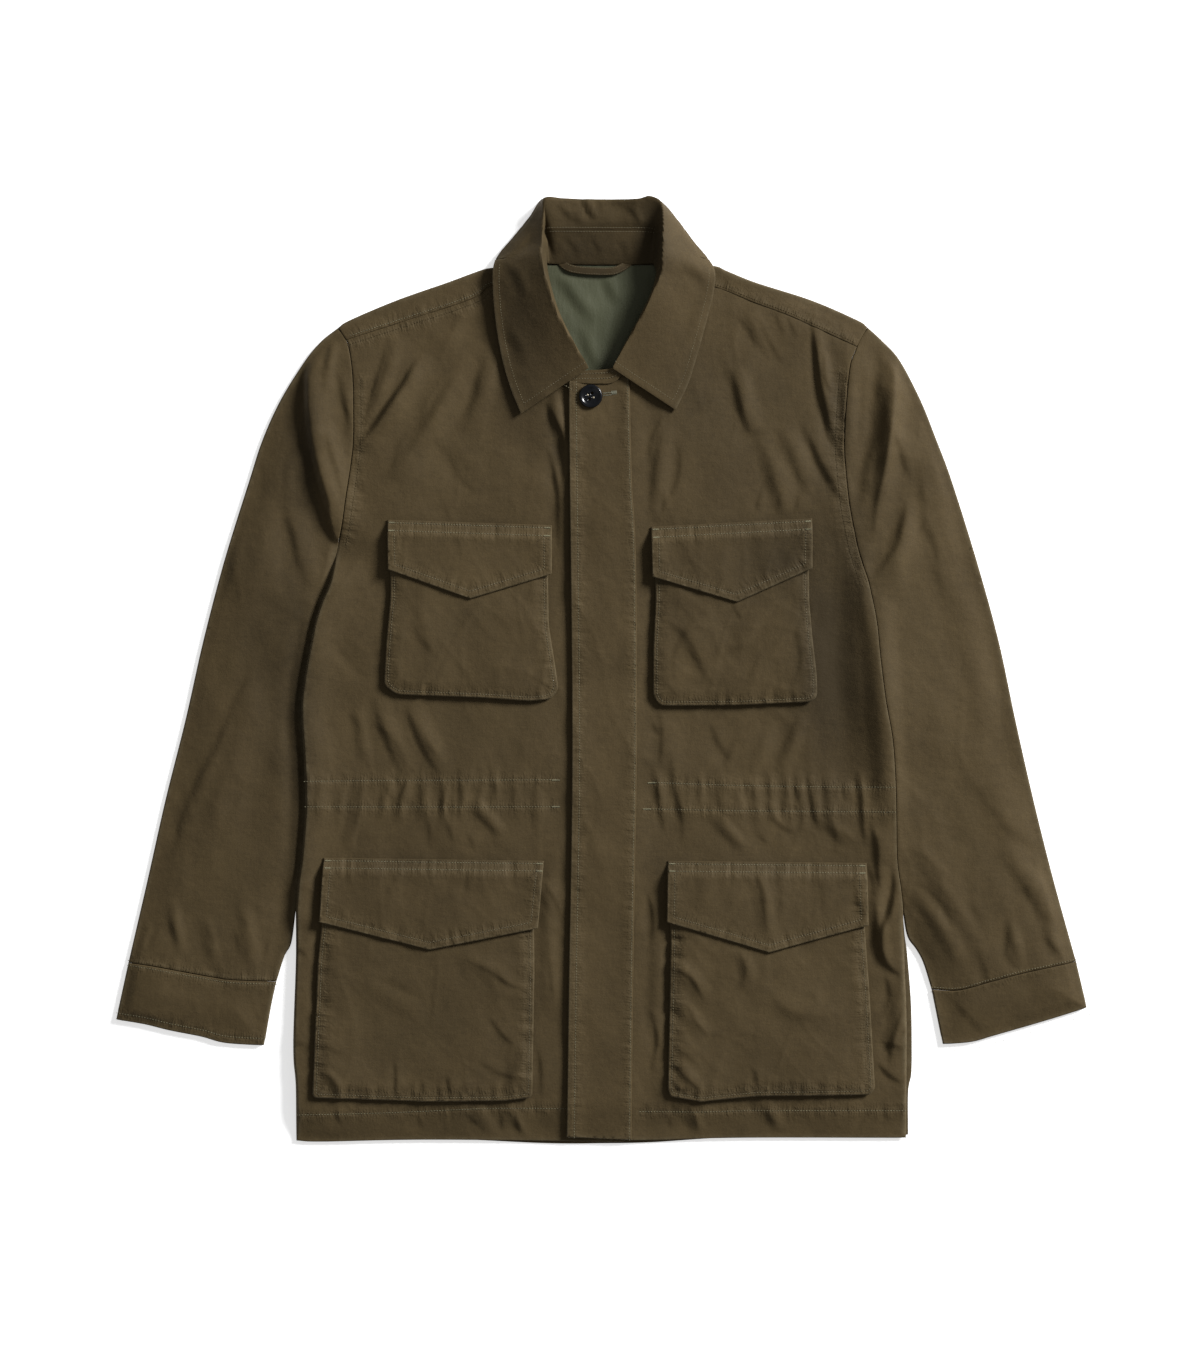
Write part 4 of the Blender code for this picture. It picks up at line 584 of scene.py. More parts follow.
def wander(places, seed, scale):
    # Smooth random numbers along a line, about -1 to 1.
    knots = np.random.default_rng(seed).uniform(-1.0, 1.0, 4096)
    place = np.asarray(places) / scale + 7.0
    i = np.floor(place).astype(int)
    t = smooth(place - i)
    return knots[i % 4096] * (1 - t) + knots[(i + 1) % 4096] * t


# Heights are worked out once on a grid of one millimetre and read from it afterwards.
field = {"west": -434.0, "south": -424.0, "columns": 869, "rows": 849}
gridX, gridY = np.meshgrid(field["west"] + np.arange(field["columns"], dtype=float),
                           field["south"] + np.arange(field["rows"], dtype=float))


def windowOf(line, reach):
    low, high = line.min(0) - reach, line.max(0) + reach
    left, right = int(max(low[0] - field["west"], 0)), int(high[0] - field["west"]) + 2
    bottom, top = int(max(low[1] - field["south"], 0)), int(high[1] - field["south"]) + 2
    return slice(bottom, max(top, 0)), slice(left, max(right, 0))


def nearOnGrid(line, reach):
    window = windowOf(line, reach)
    xs, ys = gridX[window], gridY[window]
    xy = np.stack([xs.ravel(), ys.ravel()], 1)
    near, distance, along, total = nearLine(xy, line, reach)
    return window, xs.shape, near, distance, along, total


def addOnGrid(grid, window, shape, near, values):
    patch = np.zeros(shape[0] * shape[1])
    patch[near] = values
    grid[window] += patch.reshape(shape)


def distanceGrid(lines, reach):
    result = np.full(gridX.shape, float(reach))
    for line in lines:
        for k in range(0, len(line) - 1, 12):
            part = line[k:k + 13]
            window, shape, near, distance, _, _ = nearOnGrid(part, reach)
            patch = np.full(shape[0] * shape[1], float(reach))
            patch[near] = abs(distance)
            result[window] = np.minimum(result[window], patch.reshape(shape))
    return result


def noiseGrid(scale, seed, turn=0.0, stretch=1.0):
    # Smooth random ground, its bumps about scale across and stretched along one direction.
    c, s = math.cos(math.radians(turn)), math.sin(math.radians(turn))
    u = (gridX * c + gridY * s) / (scale * stretch) + 400.0 / scale + 60
    v = (gridY * c - gridX * s) / scale + 400.0 / scale + 60
    u, v = u - math.floor(u.min()), v - math.floor(v.min())
    lattice = np.random.default_rng(seed).standard_normal((int(v.max()) + 4, int(u.max()) + 4))
    i, j = v.astype(int), u.astype(int)
    total = np.zeros(gridX.shape)
    for step, across in enumerate(spline(v - i)):
        for side, down in enumerate(spline(u - j)):
            total += lattice[i + step, j + side] * across * down
    return total / 0.45


def spline(f):
    return ((1 - f) ** 3 / 6, (3 * f ** 3 - 6 * f ** 2 + 4) / 6,
            (-3 * f ** 3 + 3 * f ** 2 + 3 * f + 1) / 6, f ** 3 / 6)


def readGrid(grid, xy):
    u = np.clip(xy[:, 0] - field["west"], 0, field["columns"] - 1.001)
    v = np.clip(xy[:, 1] - field["south"], 0, field["rows"] - 1.001)
    i, j = v.astype(int), u.astype(int)
    fv, fu = v - i, u - j
    return ((grid[i, j] * (1 - fu) + grid[i, j + 1] * fu) * (1 - fv)
            + (grid[i + 1, j] * (1 - fu) + grid[i + 1, j + 1] * fu) * fv)


cloth = {
    "wall": 1.4, "gap": 0.3,
    "edgeHeight": 1.7, "openHeight": 5.2, "rise": 34.0, "foldFade": 12.0,
    "sideLift": {"sideRight": 5.6, "sideRightLow": 2.2, "sideLeft": 0.5, "sideLeftFront": 1.2},
    "sideLiftReach": 20.0,
    "underarmRise": 6.5,  # how soon the right sleeve is at its height there
    "waves": 0.85, "ripples": 0.26, "crumple": 0.36,
    "crease": 0.62, "sharper": 0.82, "broadFold": 0.42,
    "lit": (0.64, 0.77),  # where the light comes from, seen from above
    "foldEnds": 0.9, "gatherEnds": 1.4,  # how gently a fold and a gather run out
    "gatherTop": -82.0, "gatherBottom": -138.0, "gatherReach": 6.5,
    "lowest": {"body": 1.5, "sleeve": 1.2},
}


def foldedEdges():
    names = ("shoulderRight", "shoulderLeft", "hemRight", "hemLeft")
    body = [seam(name, 8.0) for name in names]
    underarm = np.array(seams["sideRight"][:2], float)
    body.append(np.array([underarm[0], underarm[0] + (underarm[1] - underarm[0]) * 0.02]))
    names = ("sleeveOutRight", "sleeveOutLeft", "sleeveInRight", "sleeveInLeft",
             "cuffOutRight", "cuffOutLeft", "cuffInRight", "cuffInLeft", "cuffEndRight", "cuffEndLeft")
    return body, [seam(name, 8.0) for name in names]


def foldGrid():
    # The large folds and the waist gathers.
    rows = [(*row, cloth["foldEnds"]) for row in foldRows]
    uneven = np.random.default_rng(71).uniform(-1, 1, (len(gatherRows), 3))
    for (place, rise, slant), (up, down, size) in zip(gatherRows, uneven):
        rows.append((place - slant, cloth["gatherTop"] + 10 * up,
                     place + slant, cloth["gatherBottom"] + 10 * down,
                     0, cloth["gatherReach"] + 1.5 * size,
                     rise * (0.62 + 0.25 * size), 0, cloth["gatherEnds"]))
    total = np.zeros(gridX.shape)
    for x0, y0, x1, y1, bend, reach, rise, lean, runOut in rows:
        dx, dy = x1 - x0, y1 - y0
        length = math.hypot(dx, dy)
        wide = reach * (1 + abs(lean)) + abs(bend)
        window = windowOf(np.array([(x0, y0), (x1, y1)], float), wide)
        x, y = gridX[window] - x0, gridY[window] - y0
        along = (x * dx + y * dy) / length ** 2
        left = (y * dx - x * dy) / length - bend * 4 * along * (1 - along)
        flank = reach * np.where(left > 0, 1 - lean, 1 + lean)
        across = 0.5 + 0.5 * np.cos(np.pi * np.clip(left / flank, -1, 1))
        total[window] += rise * across * endsOf(along, runOut)
    return total


def endsOf(share, power):
    # Full in the middle of a line and nothing at its two ends.
    return np.clip(np.sin(np.pi * np.clip(share, 0, 1)), 0, 1) ** power


def creaseNear(line, reach):
    # The grid beside a crease, with the distance from it counted towards the light.
    window, shape, near, distance, along, length = nearOnGrid(line, reach)
    way = line[-1] - line[0]
    if -way[1] * cloth["lit"][0] + way[0] * cloth["lit"][1] < 0:
        distance = -distance
    return window, shape, near, distance, along, length


def creaseGrid():
    total = np.zeros(gridX.shape)
    for k, (half, rise, dip, text) in enumerate(creaseRows):
        half = half * cloth["sharper"]
        reach = half * 6.0
        window, shape, near, distance, along, length = creaseNear(curve(lineOf(text), 4.0), reach)
        ends = endsOf(along / length, 1.1)
        strength = ends * (1 + 0.30 * wander(along, 100 + k, 14.0))
        off = (distance + 0.35 * half * wander(along, 300 + k, 22.0)) / (0.55 + 0.45 * ends)
        litWidth = np.where(off > 0.75 * half, 2.9 * half, 0.75 * half)
        darkWidth = np.where(off < -0.4 * half, 1.9 * half, 0.75 * half)
        crest = np.exp(-((off - 0.75 * half) / litWidth) ** 2)
        trough = np.exp(-((off + 0.4 * half) / darkWidth) ** 2)
        strength *= smooth((reach - abs(distance)) / (2 * half))
        addOnGrid(total, window, shape, near, strength * (rise * crest - dip * trough))
    for half, rise, text in ridgeRows:
        line = curve(lineOf(text), 4.0)
        window, shape, near, distance, along, length = nearOnGrid(line, half * 3)
        ends = np.sin(np.pi * np.clip(along / length, 0, 1)) ** 0.7
        addOnGrid(total, window, shape, near, ends * rise * np.exp(-(distance / half) ** 2))
    return total


def addSoftCreases(grid, rows):
    # The creases of the collar and the lining.
    for half, rise, dip, text in rows:
        window, shape, near, distance, along, length = creaseNear(curve(lineOf(text), 3.0), half * 3)
        crest = rise * np.exp(-((distance - 0.8 * half) / half) ** 2)
        trough = dip * np.exp(-((distance + 0.4 * half) / half) ** 2)
        addOnGrid(grid, window, shape, near, endsOf(along / length, 0.7) * (crest - trough))


def crumpleGrid():
    # Fine crests that wander, thick in some places and missing in others.
    total = np.zeros(gridX.shape)
    kinds = ((27.0, 62, 1.9, 1.0), (26.0, 112, 2.1, 0.8), (15.0, 85, 1.8, 0.55), (14.0, 20, 1.7, 0.4))
    for k, (scale, turn, stretch, rise) in enumerate(kinds):
        patches = smooth(noiseGrid(48.0, 34 + k) * 0.45 + 0.42)
        total += rise * patches * crests(noiseGrid(scale, 31 + 7 * k, turn, stretch))
    return total


def crests(ground):
    # Narrow ridges wherever the ground passes through nothing.
    return np.exp(-(ground / 0.3) ** 2)


def buildHeights():
    bodyEdges, sleeveEdges = foldedEdges()
    folds, creases = foldGrid() * cloth["broadFold"], creaseGrid() * cloth["crease"]
    waves = noiseGrid(46.0, 11) * cloth["waves"]
    ripples = (noiseGrid(17.0, 12, 70, 1.8) + noiseGrid(13.0, 13, 115, 1.6)) * cloth["ripples"] * 0.7
    loose = waves + ripples + crumpleGrid() * cloth["crumple"]
    span = cloth["openHeight"] - cloth["edgeHeight"]
    heights = {}
    for name, edges in (("body", bodyEdges), ("sleeve", sleeveEdges)):
        clear = distanceGrid(edges, cloth["rise"])
        if name == "sleeve":
            steep = cloth["underarmRise"]
            underarm = distanceGrid([seam("sideRight", 8.0)], steep)
            clear = np.minimum(clear, underarm * cloth["rise"] / steep)
        plain = cloth["edgeHeight"] + span * smooth(clear / cloth["rise"])
        fade = 0.12 + 0.88 * smooth(clear / cloth["foldFade"])
        heights[name] = plain + (folds + creases + loose) * fade
    clear = distanceGrid(bodyEdges, 60.0)
    lift = np.zeros(gridX.shape)
    for name, rise in cloth["sideLift"].items():
        # the two upper sides are lifted below the underarm only
        line = seam(name, 8.0)[3 if name in ("sideRight", "sideLeft") else 0:]
        away = distanceGrid([line], 60.0)
        lift = np.maximum(lift, rise * np.exp(-(away / cloth["sideLiftReach"]) ** 2))
    heights["body"] += lift * smooth(clear / 40.0)
    for name, grid in heights.items():
        # a soft floor keeps the deepest creases off the layer below
        low = cloth["lowest"][name]
        heights[name] = low + np.logaddexp(0.0, (grid - low) / 0.5) * 0.5
    heights["pocket"] = (noiseGrid(24.0, 21, 50, 1.5) * 0.55 + noiseGrid(12.0, 22, 100, 1.6) * 0.28
                         + crests(noiseGrid(21.0, 23, 75, 1.8)) * 0.7
                         + crests(noiseGrid(17.0, 24, 130, 2.0)) * 0.5)
    return heights


print("heights of the cloth")
heights = buildHeights()


def topOf(kind, xy):
    return readGrid(heights[kind], xy) + cloth["wall"]


# How an edge turns over: room it takes inside its outline, then the points of its section as way
# out and way down. Where there is a level, down is a share of the way to it.
edgeKinds = {
    "hem": (0.8, None, ((0.35, 0.05), (0.65, 0.28), (0.8, 0.75), (0.65, 1.2), (0.3, 1.42), (-0.6, 1.48),
                        (-2.5, 1.5), (-5.0, 1.5))),
    "thin": (0.5, None, ((0.2, 0.03), (0.4, 0.15), (0.5, 0.4), (0.4, 0.7), (0.2, 0.85), (-0.5, 0.9),
                         (-1.5, 0.92), (-3.0, 0.95))),
    "seam": (0.9, None, ((0.3, 0.1), (0.55, 0.28), (0.72, 0.55), (0.8, 0.85), (0.82, 1.1), (0.82, 1.3),
                         (0.82, 1.45), (0.82, 1.6))),
    "side": (2.6, 1.5, ((0.75, 0.03), (1.6, 0.14), (2.3, 0.32), (2.6, 0.52), (2.4, 0.72), (1.7, 0.88),
                        (0.6, 0.97), (-1.0, 1.0))),
    "close": (0.6, 1.5, ((0.2, 0.005), (0.38, 0.018), (0.5, 0.04), (0.58, 0.08), (0.6, 0.2), (0.6, 0.45),
                         (0.6, 0.7), (0.6, 1.0))),
    "fold": (1.6, 1.6, ((0.3, 0.03), (0.6, 0.1), (0.9, 0.2), (1.15, 0.34), (1.36, 0.5), (1.5, 0.66),
                        (1.58, 0.83), (1.6, 1.0))),
    "under": (1.6, 1.6, ((0.9, 0.02), (1.8, 0.1), (2.5, 0.25), (2.9, 0.5), (2.7, 0.75), (2.0, 0.9),
                         (1.3, 0.97), (0.9, 1.0))),
    "mouth": (0.8, None, ((0.35, 0.05), (0.65, 0.25), (0.8, 0.6), (0.65, 0.95), (0.3, 1.15), (-1.5, 1.25),
                          (-6.0, 1.3), (-12.0, 1.3))),
    "gusset": (1.0, None, ((0.4, 0.08), (0.75, 0.3), (0.95, 0.75), (0.9, 1.3), (0.45, 1.75), (-0.7, 2.1),
                           (-1.1, 3.2), (-1.0, 4.4))),
    "plain": (0.2, None, ((0.1, 0.1), (0.2, 0.3), (0.2, 0.6), (0.2, 0.8), (0.2, 0.9), (0.2, 1.0),
                          (0.2, 1.1), (0.2, 1.2))),
    "slab": (0.7, 0.7, ((0.2, 0.05), (0.38, 0.15), (0.52, 0.28), (0.62, 0.45), (0.68, 0.6), (0.7, 0.75),
                        (0.7, 0.9), (0.7, 1.0))),
    "inner": (3.6, None, ((0.05, 0.02), (0.1, 0.04), (0.15, 0.06), (0.2, 0.08), (0.25, 0.1), (0.3, 0.12),
                          (0.35, 0.14), (0.4, 0.16))),
}


def spreadPoints(loop, lines, step, hidden=()):
    # Staggered points inside an outline, clear of it and of the lines, and few where it is hidden.
    low, high = loop.min(0), loop.max(0)
    rows = np.arange(low[1], high[1], step * 0.87)
    columns = np.arange(low[0], high[0], step)
    xs, ys = np.meshgrid(columns, rows)
    xs = xs + (np.arange(len(rows)) % 2)[:, None] * step / 2
    few = ((np.arange(len(rows)) % 4 == 0)[:, None] & (np.arange(len(columns)) % 4 == 0)[None, :]).ravel()
    xy = np.stack([xs.ravel(), ys.ravel()], 1)
    keep = insideOf(xy, loop)
    for cover in hidden:
        keep &= few | ~insideOf(xy, cover)
    xy = xy[keep]
    for line in [closed(loop)] + lines:
        near, _, _, _ = nearLine(xy, line, step * 0.55)
        if len(near):
            keep = np.ones(len(xy), bool)
            keep[near] = False
            xy = xy[keep]
    return xy


def trimmed(line, loop, room):
    # The parts of a line that lie inside the loop and clear of it.
    ok = insideOf(line, loop)
    near, _, _, _ = nearLine(line, closed(loop), room)
    ok[near] = False
    parts, current = [], []
    for point, good in zip(line, ok):
        if good:
            current.append(point)
        elif current:
            parts.append(np.array(current))
            current = []
    if current:
        parts.append(np.array(current))
    return [part for part in parts if len(part) > 2]


def triangulate(loop, lines, loose):
    places = [Vector(p) for p in loop]
    edges = [(k, (k + 1) % len(loop)) for k in range(len(loop))]
    for line in lines:
        start = len(places)
        places += [Vector(p) for p in line]
        edges += [(start + k, start + k + 1) for k in range(len(line) - 1)]
    places += [Vector(p) for p in loose]
    found, _, faces, origins, _, _ = delaunay_2d_cdt(places, edges, [], 0, 1e-4, True)
    xy = np.array([tuple(p) for p in found])
    faces = np.array([tuple(f) for f in faces])
    a, b, c = xy[faces[:, 0]], xy[faces[:, 1]], xy[faces[:, 2]]
    turn = (b[:, 0] - a[:, 0]) * (c[:, 1] - a[:, 1]) - (b[:, 1] - a[:, 1]) * (c[:, 0] - a[:, 0])
    faces[turn < 0] = faces[turn < 0][:, ::-1]
    faces = faces[insideOf((a + b + c) / 3, loop) & (abs(turn) > 1e-6)]
    rim = np.zeros(len(loop), int)
    for new, olds in enumerate(origins):
        for old in olds:
            if old < len(loop):
                rim[old] = new
    return xy, faces, rim


sheetLook = {
    "pullReach": 13.0,  # how far a row of stitches draws ribs into the cloth
    "rowWidth": 0.75, "rimWear": 1.6, "rowWear": 0.45,
    "blur": (0.08, 0.14, 0.18, 0.2, 0.18, 0.14, 0.08),  # where one kind of edge runs into the next
    "unworn": ("seam", "plain"),
}


def blur(values):
    return sum(np.roll(values, k, 0) * share for k, share in zip(range(-3, 4), sheetLook["blur"]))


def wearOf(xy, loop, rubbed, rings, rows):
    # How worn each point is, and how the rows of stitches pull at it.
    worn = np.r_[np.zeros(len(xy)), np.tile(rubbed, rings)]
    near, away, along, total = nearLine(xy, closed(loop), 6.0)
    place = (along / total * len(loop)).astype(int) % len(loop)
    worn[near] = rubbed[place] * np.exp(-(away / sheetLook["rimWear"]) ** 2)
    for _, line in rows:
        near, away, _, _ = nearLine(xy, line, 4.0)
        worn[near] = np.maximum(worn[near], sheetLook["rowWear"] * np.exp(-((abs(away) - 1.3) / 0.9) ** 2))
    reach = sheetLook["pullReach"]
    pull = np.zeros((len(worn), 3))
    closest = np.full(len(xy), reach)
    for _, line in rows:
        near, away, along, _ = nearLine(xy, line, reach)
        better = abs(away) < closest[near]
        near, away, along = near[better], away[better], along[better]
        closest[near] = abs(away)
        pull[near] = np.column_stack([along, away, (1 - abs(away) / reach) ** 1.5])
    return np.column_stack([worn, pull])


def panelParts(runs, heightAt, step, rows=(), lowest=0.05, upward=False, hidden=()):
    # Points, faces and wear of a sheet with its edges turned over. runs is (line, edge kind).
    loop = np.vstack([line[:-1] for line, _ in runs])
    kinds = [kind for line, kind in runs for _ in range(len(line) - 1)]
    table = [edgeKinds[kind] for kind in kinds]
    room = blur(np.array([row[0] for row in table]))
    outs = blur(np.array([[out for out, _ in row[2]] for row in table]))
    downs = np.array([[down for _, down in row[2]] for row in table])
    levels = np.array([row[1] or 0.0 for row in table])
    levelled = np.array([row[1] is not None for row in table])
    normal = outwards(loop)
    inner = loop - normal * room[:, None]
    lines = []
    for _, line in rows:
        for off in (0.0, 1.1, -1.1):
            lines += trimmed(beside(line, off), inner, 1.3)
    xy, faces, rim = triangulate(inner, lines, spreadPoints(inner, lines, step, hidden))
    z = heightAt(xy)
    for depth, line in rows:
        near, distance, _, _ = nearLine(xy, line, 3.0)
        z[near] -= depth * np.exp(-(distance / sheetLook["rowWidth"]) ** 2) * (1 - 2 * upward)
    top = z[rim]
    sign = -1.0 if upward else 1.0
    share = blur(np.where(levelled[:, None], downs * (top - levels)[:, None] * sign, downs))
    points, allFaces = [np.column_stack([xy, z])], [tuple(f) for f in faces]
    start, ring = len(xy), rim
    for k in range(outs.shape[1]):
        place = inner + normal * outs[:, k:k + 1]
        height = top - share[:, k] * sign
        height = np.maximum(height, lowest if np.isscalar(lowest) else lowest(place))
        points.append(np.column_stack([place, height]))
        nextRing = np.arange(start, start + len(loop))
        start += len(loop)
        allFaces += list(zip(ring, nextRing, np.roll(nextRing, -1), np.roll(ring, -1)))
        ring = nextRing
    rubbed = blur(np.array([kind not in sheetLook["unworn"] for kind in kinds], float))
    if upward:
        allFaces = [tuple(reversed(f)) for f in allFaces]
    return np.vstack(points), allFaces, wearOf(xy, inner, rubbed, outs.shape[1], rows)


# Broad places of painted shade, where the amount is below nothing, and of painted light, where it is above:
# middle, reach each way and amount.
paintedShadeAndLightPlaces = (
    (125, 215, 85, 80, -0.14), (110, 75, 90, 40, -0.12), (-150, -300, 95, 75, -0.09),
    (-68, 300, 26, 75, -0.4), (78, 300, 30, 80, 0.06), (-130, 235, 70, 60, 0.05),
    (-110, 100, 75, 30, 0.07), (0, -100, 26, 330, 0.05), (50, -120, 14, 260, -0.1),
    (232, -60, 18, 120, 0.08), (-263, -50, 15, 130, -0.34), (146, -171, 92, 9, -0.24),
    (-150, -169, 98, 9, -0.24), (114, 126, 72, 8, -0.16), (-114, 126, 74, 8, -0.16),
    (330, -60, 40, 150, 0.06), (0, 390, 50, 20, -0.12), (0, 362, 48, 22, -0.4), (44, 378, 13, 34, -0.46),
    (-5, 347, 34, 6, -0.3), (206, 0, 30, 92, -0.44), (188, 10, 16, 80, -0.28), (88, 240, 22, 34, -0.2),
    (203, 235, 9, 45, -0.3), (157, 98, 27, 24, -0.34), (-292, 10, 28, 100, -0.24), (-332, 0, 14, 90, 0.08),
    (-254, 192, 8, 55, -0.35), (-268, 192, 16, 50, -0.3), (218, 110, 14, 50, -0.2),
    (196, 176, 22, 40, -0.1), (-326, -100, 16, 40, -0.1), (-40, 200, 8, 40, -0.2),
)


# Painted shade and painted light at each point, from the places above.
def paintedShadeAndLightAt(xy):
    total = np.zeros(len(xy))
    for x, y, wide, high, amount in paintedShadeAndLightPlaces:
        total += amount * np.exp(-((xy[:, 0] - x) / wide) ** 2 - ((xy[:, 1] - y) / high) ** 2)
    return total


def placed(thing):
    scene.collection.objects.link(thing)
    return thing


def makePiece(name, parts, material, nodes=()):
    # parts are (points, faces, wear and pull), where a missing pull is nothing
    points, faces, looks, start = [], [], [], 0
    for somePoints, someFaces, someLooks in parts:
        points.append(somePoints)
        faces += [tuple(int(k) + start for k in f) for f in someFaces]
        if someLooks.ndim == 1:
            someLooks = np.column_stack([someLooks, np.zeros((len(someLooks), 3))])
        looks.append(someLooks)
        start += len(somePoints)
    points, looks = np.vstack(points), np.vstack(looks).astype(np.float32)
    mesh = bpy.data.meshes.new(name)
    mesh.from_pydata((points * mm).tolist(), [], faces)
    mesh.attributes.new("worn", "FLOAT", "POINT").data.foreach_set("value", looks[:, 0])
    mesh.attributes.new("pull", "FLOAT_VECTOR", "POINT").data.foreach_set("vector", looks[:, 1:].ravel())
    # painted shade and painted light, kept on each point for the cloth's colour
    paintedShadeAndLight = paintedShadeAndLightAt(points[:, :2]).astype(np.float32)
    mesh.attributes.new("paintedShadeAndLight", "FLOAT", "POINT").data.foreach_set("value", paintedShadeAndLight)
    mesh.shade_smooth()
    mesh.materials.append(material)
    piece = placed(bpy.data.objects.new(name, mesh))
    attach(piece, "root")
    if nodes:
        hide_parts(*nodes)
    return piece


# Shader nodes, with sockets that can be used in sums.
class Wire:
    def __init__(self, paint, socket):
        self.paint, self.socket = paint, socket

    def sum(self, operation, other, swapped=False):
        first, second = (other, self) if swapped else (self, other)
        return self.paint.math(operation, first, second)

    def __add__(self, other):
        return self.sum("ADD", other)

    def __radd__(self, other):
        return self.sum("ADD", other, True)

    def __sub__(self, other):
        return self.sum("SUBTRACT", other)

    def __rsub__(self, other):
        return self.sum("SUBTRACT", other, True)

    def __mul__(self, other):
        return self.sum("MULTIPLY", other)

    def __rmul__(self, other):
        return self.sum("MULTIPLY", other, True)


class Paint:
    def __init__(self, name, fixed):
        self.material = bpy.data.materials.new(name)
        self.material.use_nodes = True
        self.tree = self.material.node_tree
        self.shader = self.tree.nodes["Principled BSDF"]
        for key, value in fixed.items():
            self.shader.inputs[key].default_value = value
        self.place = self.add("ShaderNodeTexCoord", output="Object")

    def add(self, kind, settings=None, values=None, output=0):
        node = self.tree.nodes.new(kind)
        for key, value in (settings or {}).items():
            setattr(node, key, value)
        for key, value in (values or {}).items():
            self.put(node.inputs[key], value)
        return Wire(self, node.outputs[output])

    def put(self, socket, value):
        if isinstance(value, Wire):
            self.tree.links.new(value.socket, socket)
        else:
            socket.default_value = value

    def mix(self, factor, first, second):
        return self.add("ShaderNodeMix", {"data_type": "RGBA"}, {0: factor, 6: first, 7: second}, 2)

    def math(self, operation, first, second=0.5):
        return self.add("ShaderNodeMath", {"operation": operation}, {0: first, 1: second})

    def shaped(self, **values):
        # the place on the piece, stretched or turned
        return self.add("ShaderNodeMapping", {}, {"Vector": self.place, **values})

    def attribute(self, name, output="Fac"):
        return self.add("ShaderNodeAttribute", {"attribute_name": name}, output=output)

    def axes(self, vector):
        first = self.add("ShaderNodeSeparateXYZ", {}, {0: vector})
        return [Wire(self, socket) for socket in first.socket.node.outputs]

    def noise(self, size, detail=2.0, rough=0.5, place=None):
        # size is across one bump, in millimetres
        return self.add("ShaderNodeTexNoise", {}, {"Vector": place or self.place, "Scale": 1 / (size * mm),
                                                   "Detail": detail, "Roughness": rough})

    def finish(self, colour, roughness, height, distance=1.0, strength=1.0):
        self.put(self.shader.inputs["Base Color"], colour)
        self.put(self.shader.inputs["Roughness"], roughness)
        bump = self.add("ShaderNodeBump", {}, {"Strength": strength, "Distance": distance * mm,
                                               "Height": height})
        self.put(self.shader.inputs["Normal"], bump)
        return self.material


def weave(paint, pitch, turn):
    # Threads going over and under, one way and the other, with slubs.
    x, y, _ = paint.axes(paint.shaped(Rotation=(0, 0, turn)))
    slub = paint.noise(6.0, 3.0)
    size = 2 * math.pi / (pitch * mm)
    return paint.math("SINE", x * size + slub * 5.0) * paint.math("SINE", y * size + slub * 4.0) * 0.5 + 0.5


cottonLook = {
    "middle": (0.0600, 0.0415, 0.0175), "spread": 0.44, "worn": (0.112, 0.090, 0.052, 1), "pitch": 0.55,
    "roughness": 0.68, "ribPitch": 2.45,
}


def cottonMaterial(name="fieldCotton", look=cottonLook):
    paint = Paint(name, {"Sheen Weight": 0.04, "Sheen Roughness": 0.45, "Sheen Tint": (0.9, 0.82, 0.62, 1),
                         "Specular IOR Level": 0.15})
    dark, light = ((*(c * (1 + way * look["spread"]) for c in look["middle"]), 1) for way in (-1, 1))
    threads = weave(paint, look["pitch"], 0.0)
    cloudy, patchy = paint.noise(46.0, 4.0, 0.6), paint.noise(7.0, 3.0, 0.6)
    fleck = paint.noise(1.3, 3.0, 0.7)
    slubs = [paint.noise(1.5, 2.0, 0.6, paint.shaped(Scale=scale)) for scale in ((0.11, 1, 1), (1, 0.13, 1))]
    # the cloth's tone varies at random, and the painted shade and painted light of each point is added to it
    tone = (0.5 + (cloudy - 0.5) * 0.55 + (patchy - 0.5) * 0.28 + (fleck - 0.5) * 0.58
            + (slubs[0] - 0.5) * 0.26 + (slubs[1] - 0.5) * 0.22 + paint.attribute("paintedShadeAndLight"))
    colour = paint.mix(tone, dark, light)
    colour = paint.mix(paint.attribute("worn") * (patchy * 0.9 - 0.20), colour, look["worn"])
    # ribs that each row of stitches draws in the cloth, and the crumple between them
    along, away, drawn = paint.axes(paint.attribute("pull", "Vector"))
    along = along + patchy * 5.0
    ribPlace = paint.add("ShaderNodeCombineXYZ", {}, {0: along * 0.001, 1: away * 0.00012})
    ribs = paint.noise(4.6, 2.0, 0.55, ribPlace)
    evenRibs = paint.math("SINE", along * (math.tau / look["ribPitch"]))
    crumple = paint.noise(10.0, 4.0, 0.62)
    height = (threads * 0.025 + fleck * 0.08 + slubs[0] * 0.02 + slubs[1] * 0.02 + crumple * 0.55
              + drawn * ribs * (patchy * 2.6 - 0.4) + drawn * drawn * evenRibs * 0.06)
    return paint.finish(colour, look["roughness"] + 0.16 * fleck - 0.05 * cloudy, height)


def sageMaterial():
    paint = Paint("sageLining", {"Sheen Weight": 0.15, "Sheen Roughness": 0.4, "Specular IOR Level": 0.35})
    threads = weave(paint, 0.4, 0.6)
    cloudy = paint.noise(26.0, 3.0)
    fleck = paint.noise(0.9, 3.0, 0.6)
    colour = paint.mix(cloudy * 0.8 - 0.1, (0.047, 0.050, 0.0235, 1), (0.071, 0.074, 0.0365, 1))
    colour = paint.mix(fleck * 0.5 - 0.05, colour, (0.034, 0.038, 0.019, 1))
    folded = paint.noise(9.0, 3.0, 0.6, paint.shaped(Scale=(1.0, 0.35, 1.0), Rotation=(0, 0, 0.5)))
    return paint.finish(colour, 0.55 + 0.15 * fleck, threads * 0.03 + fleck * 0.06 + folded * 0.5)


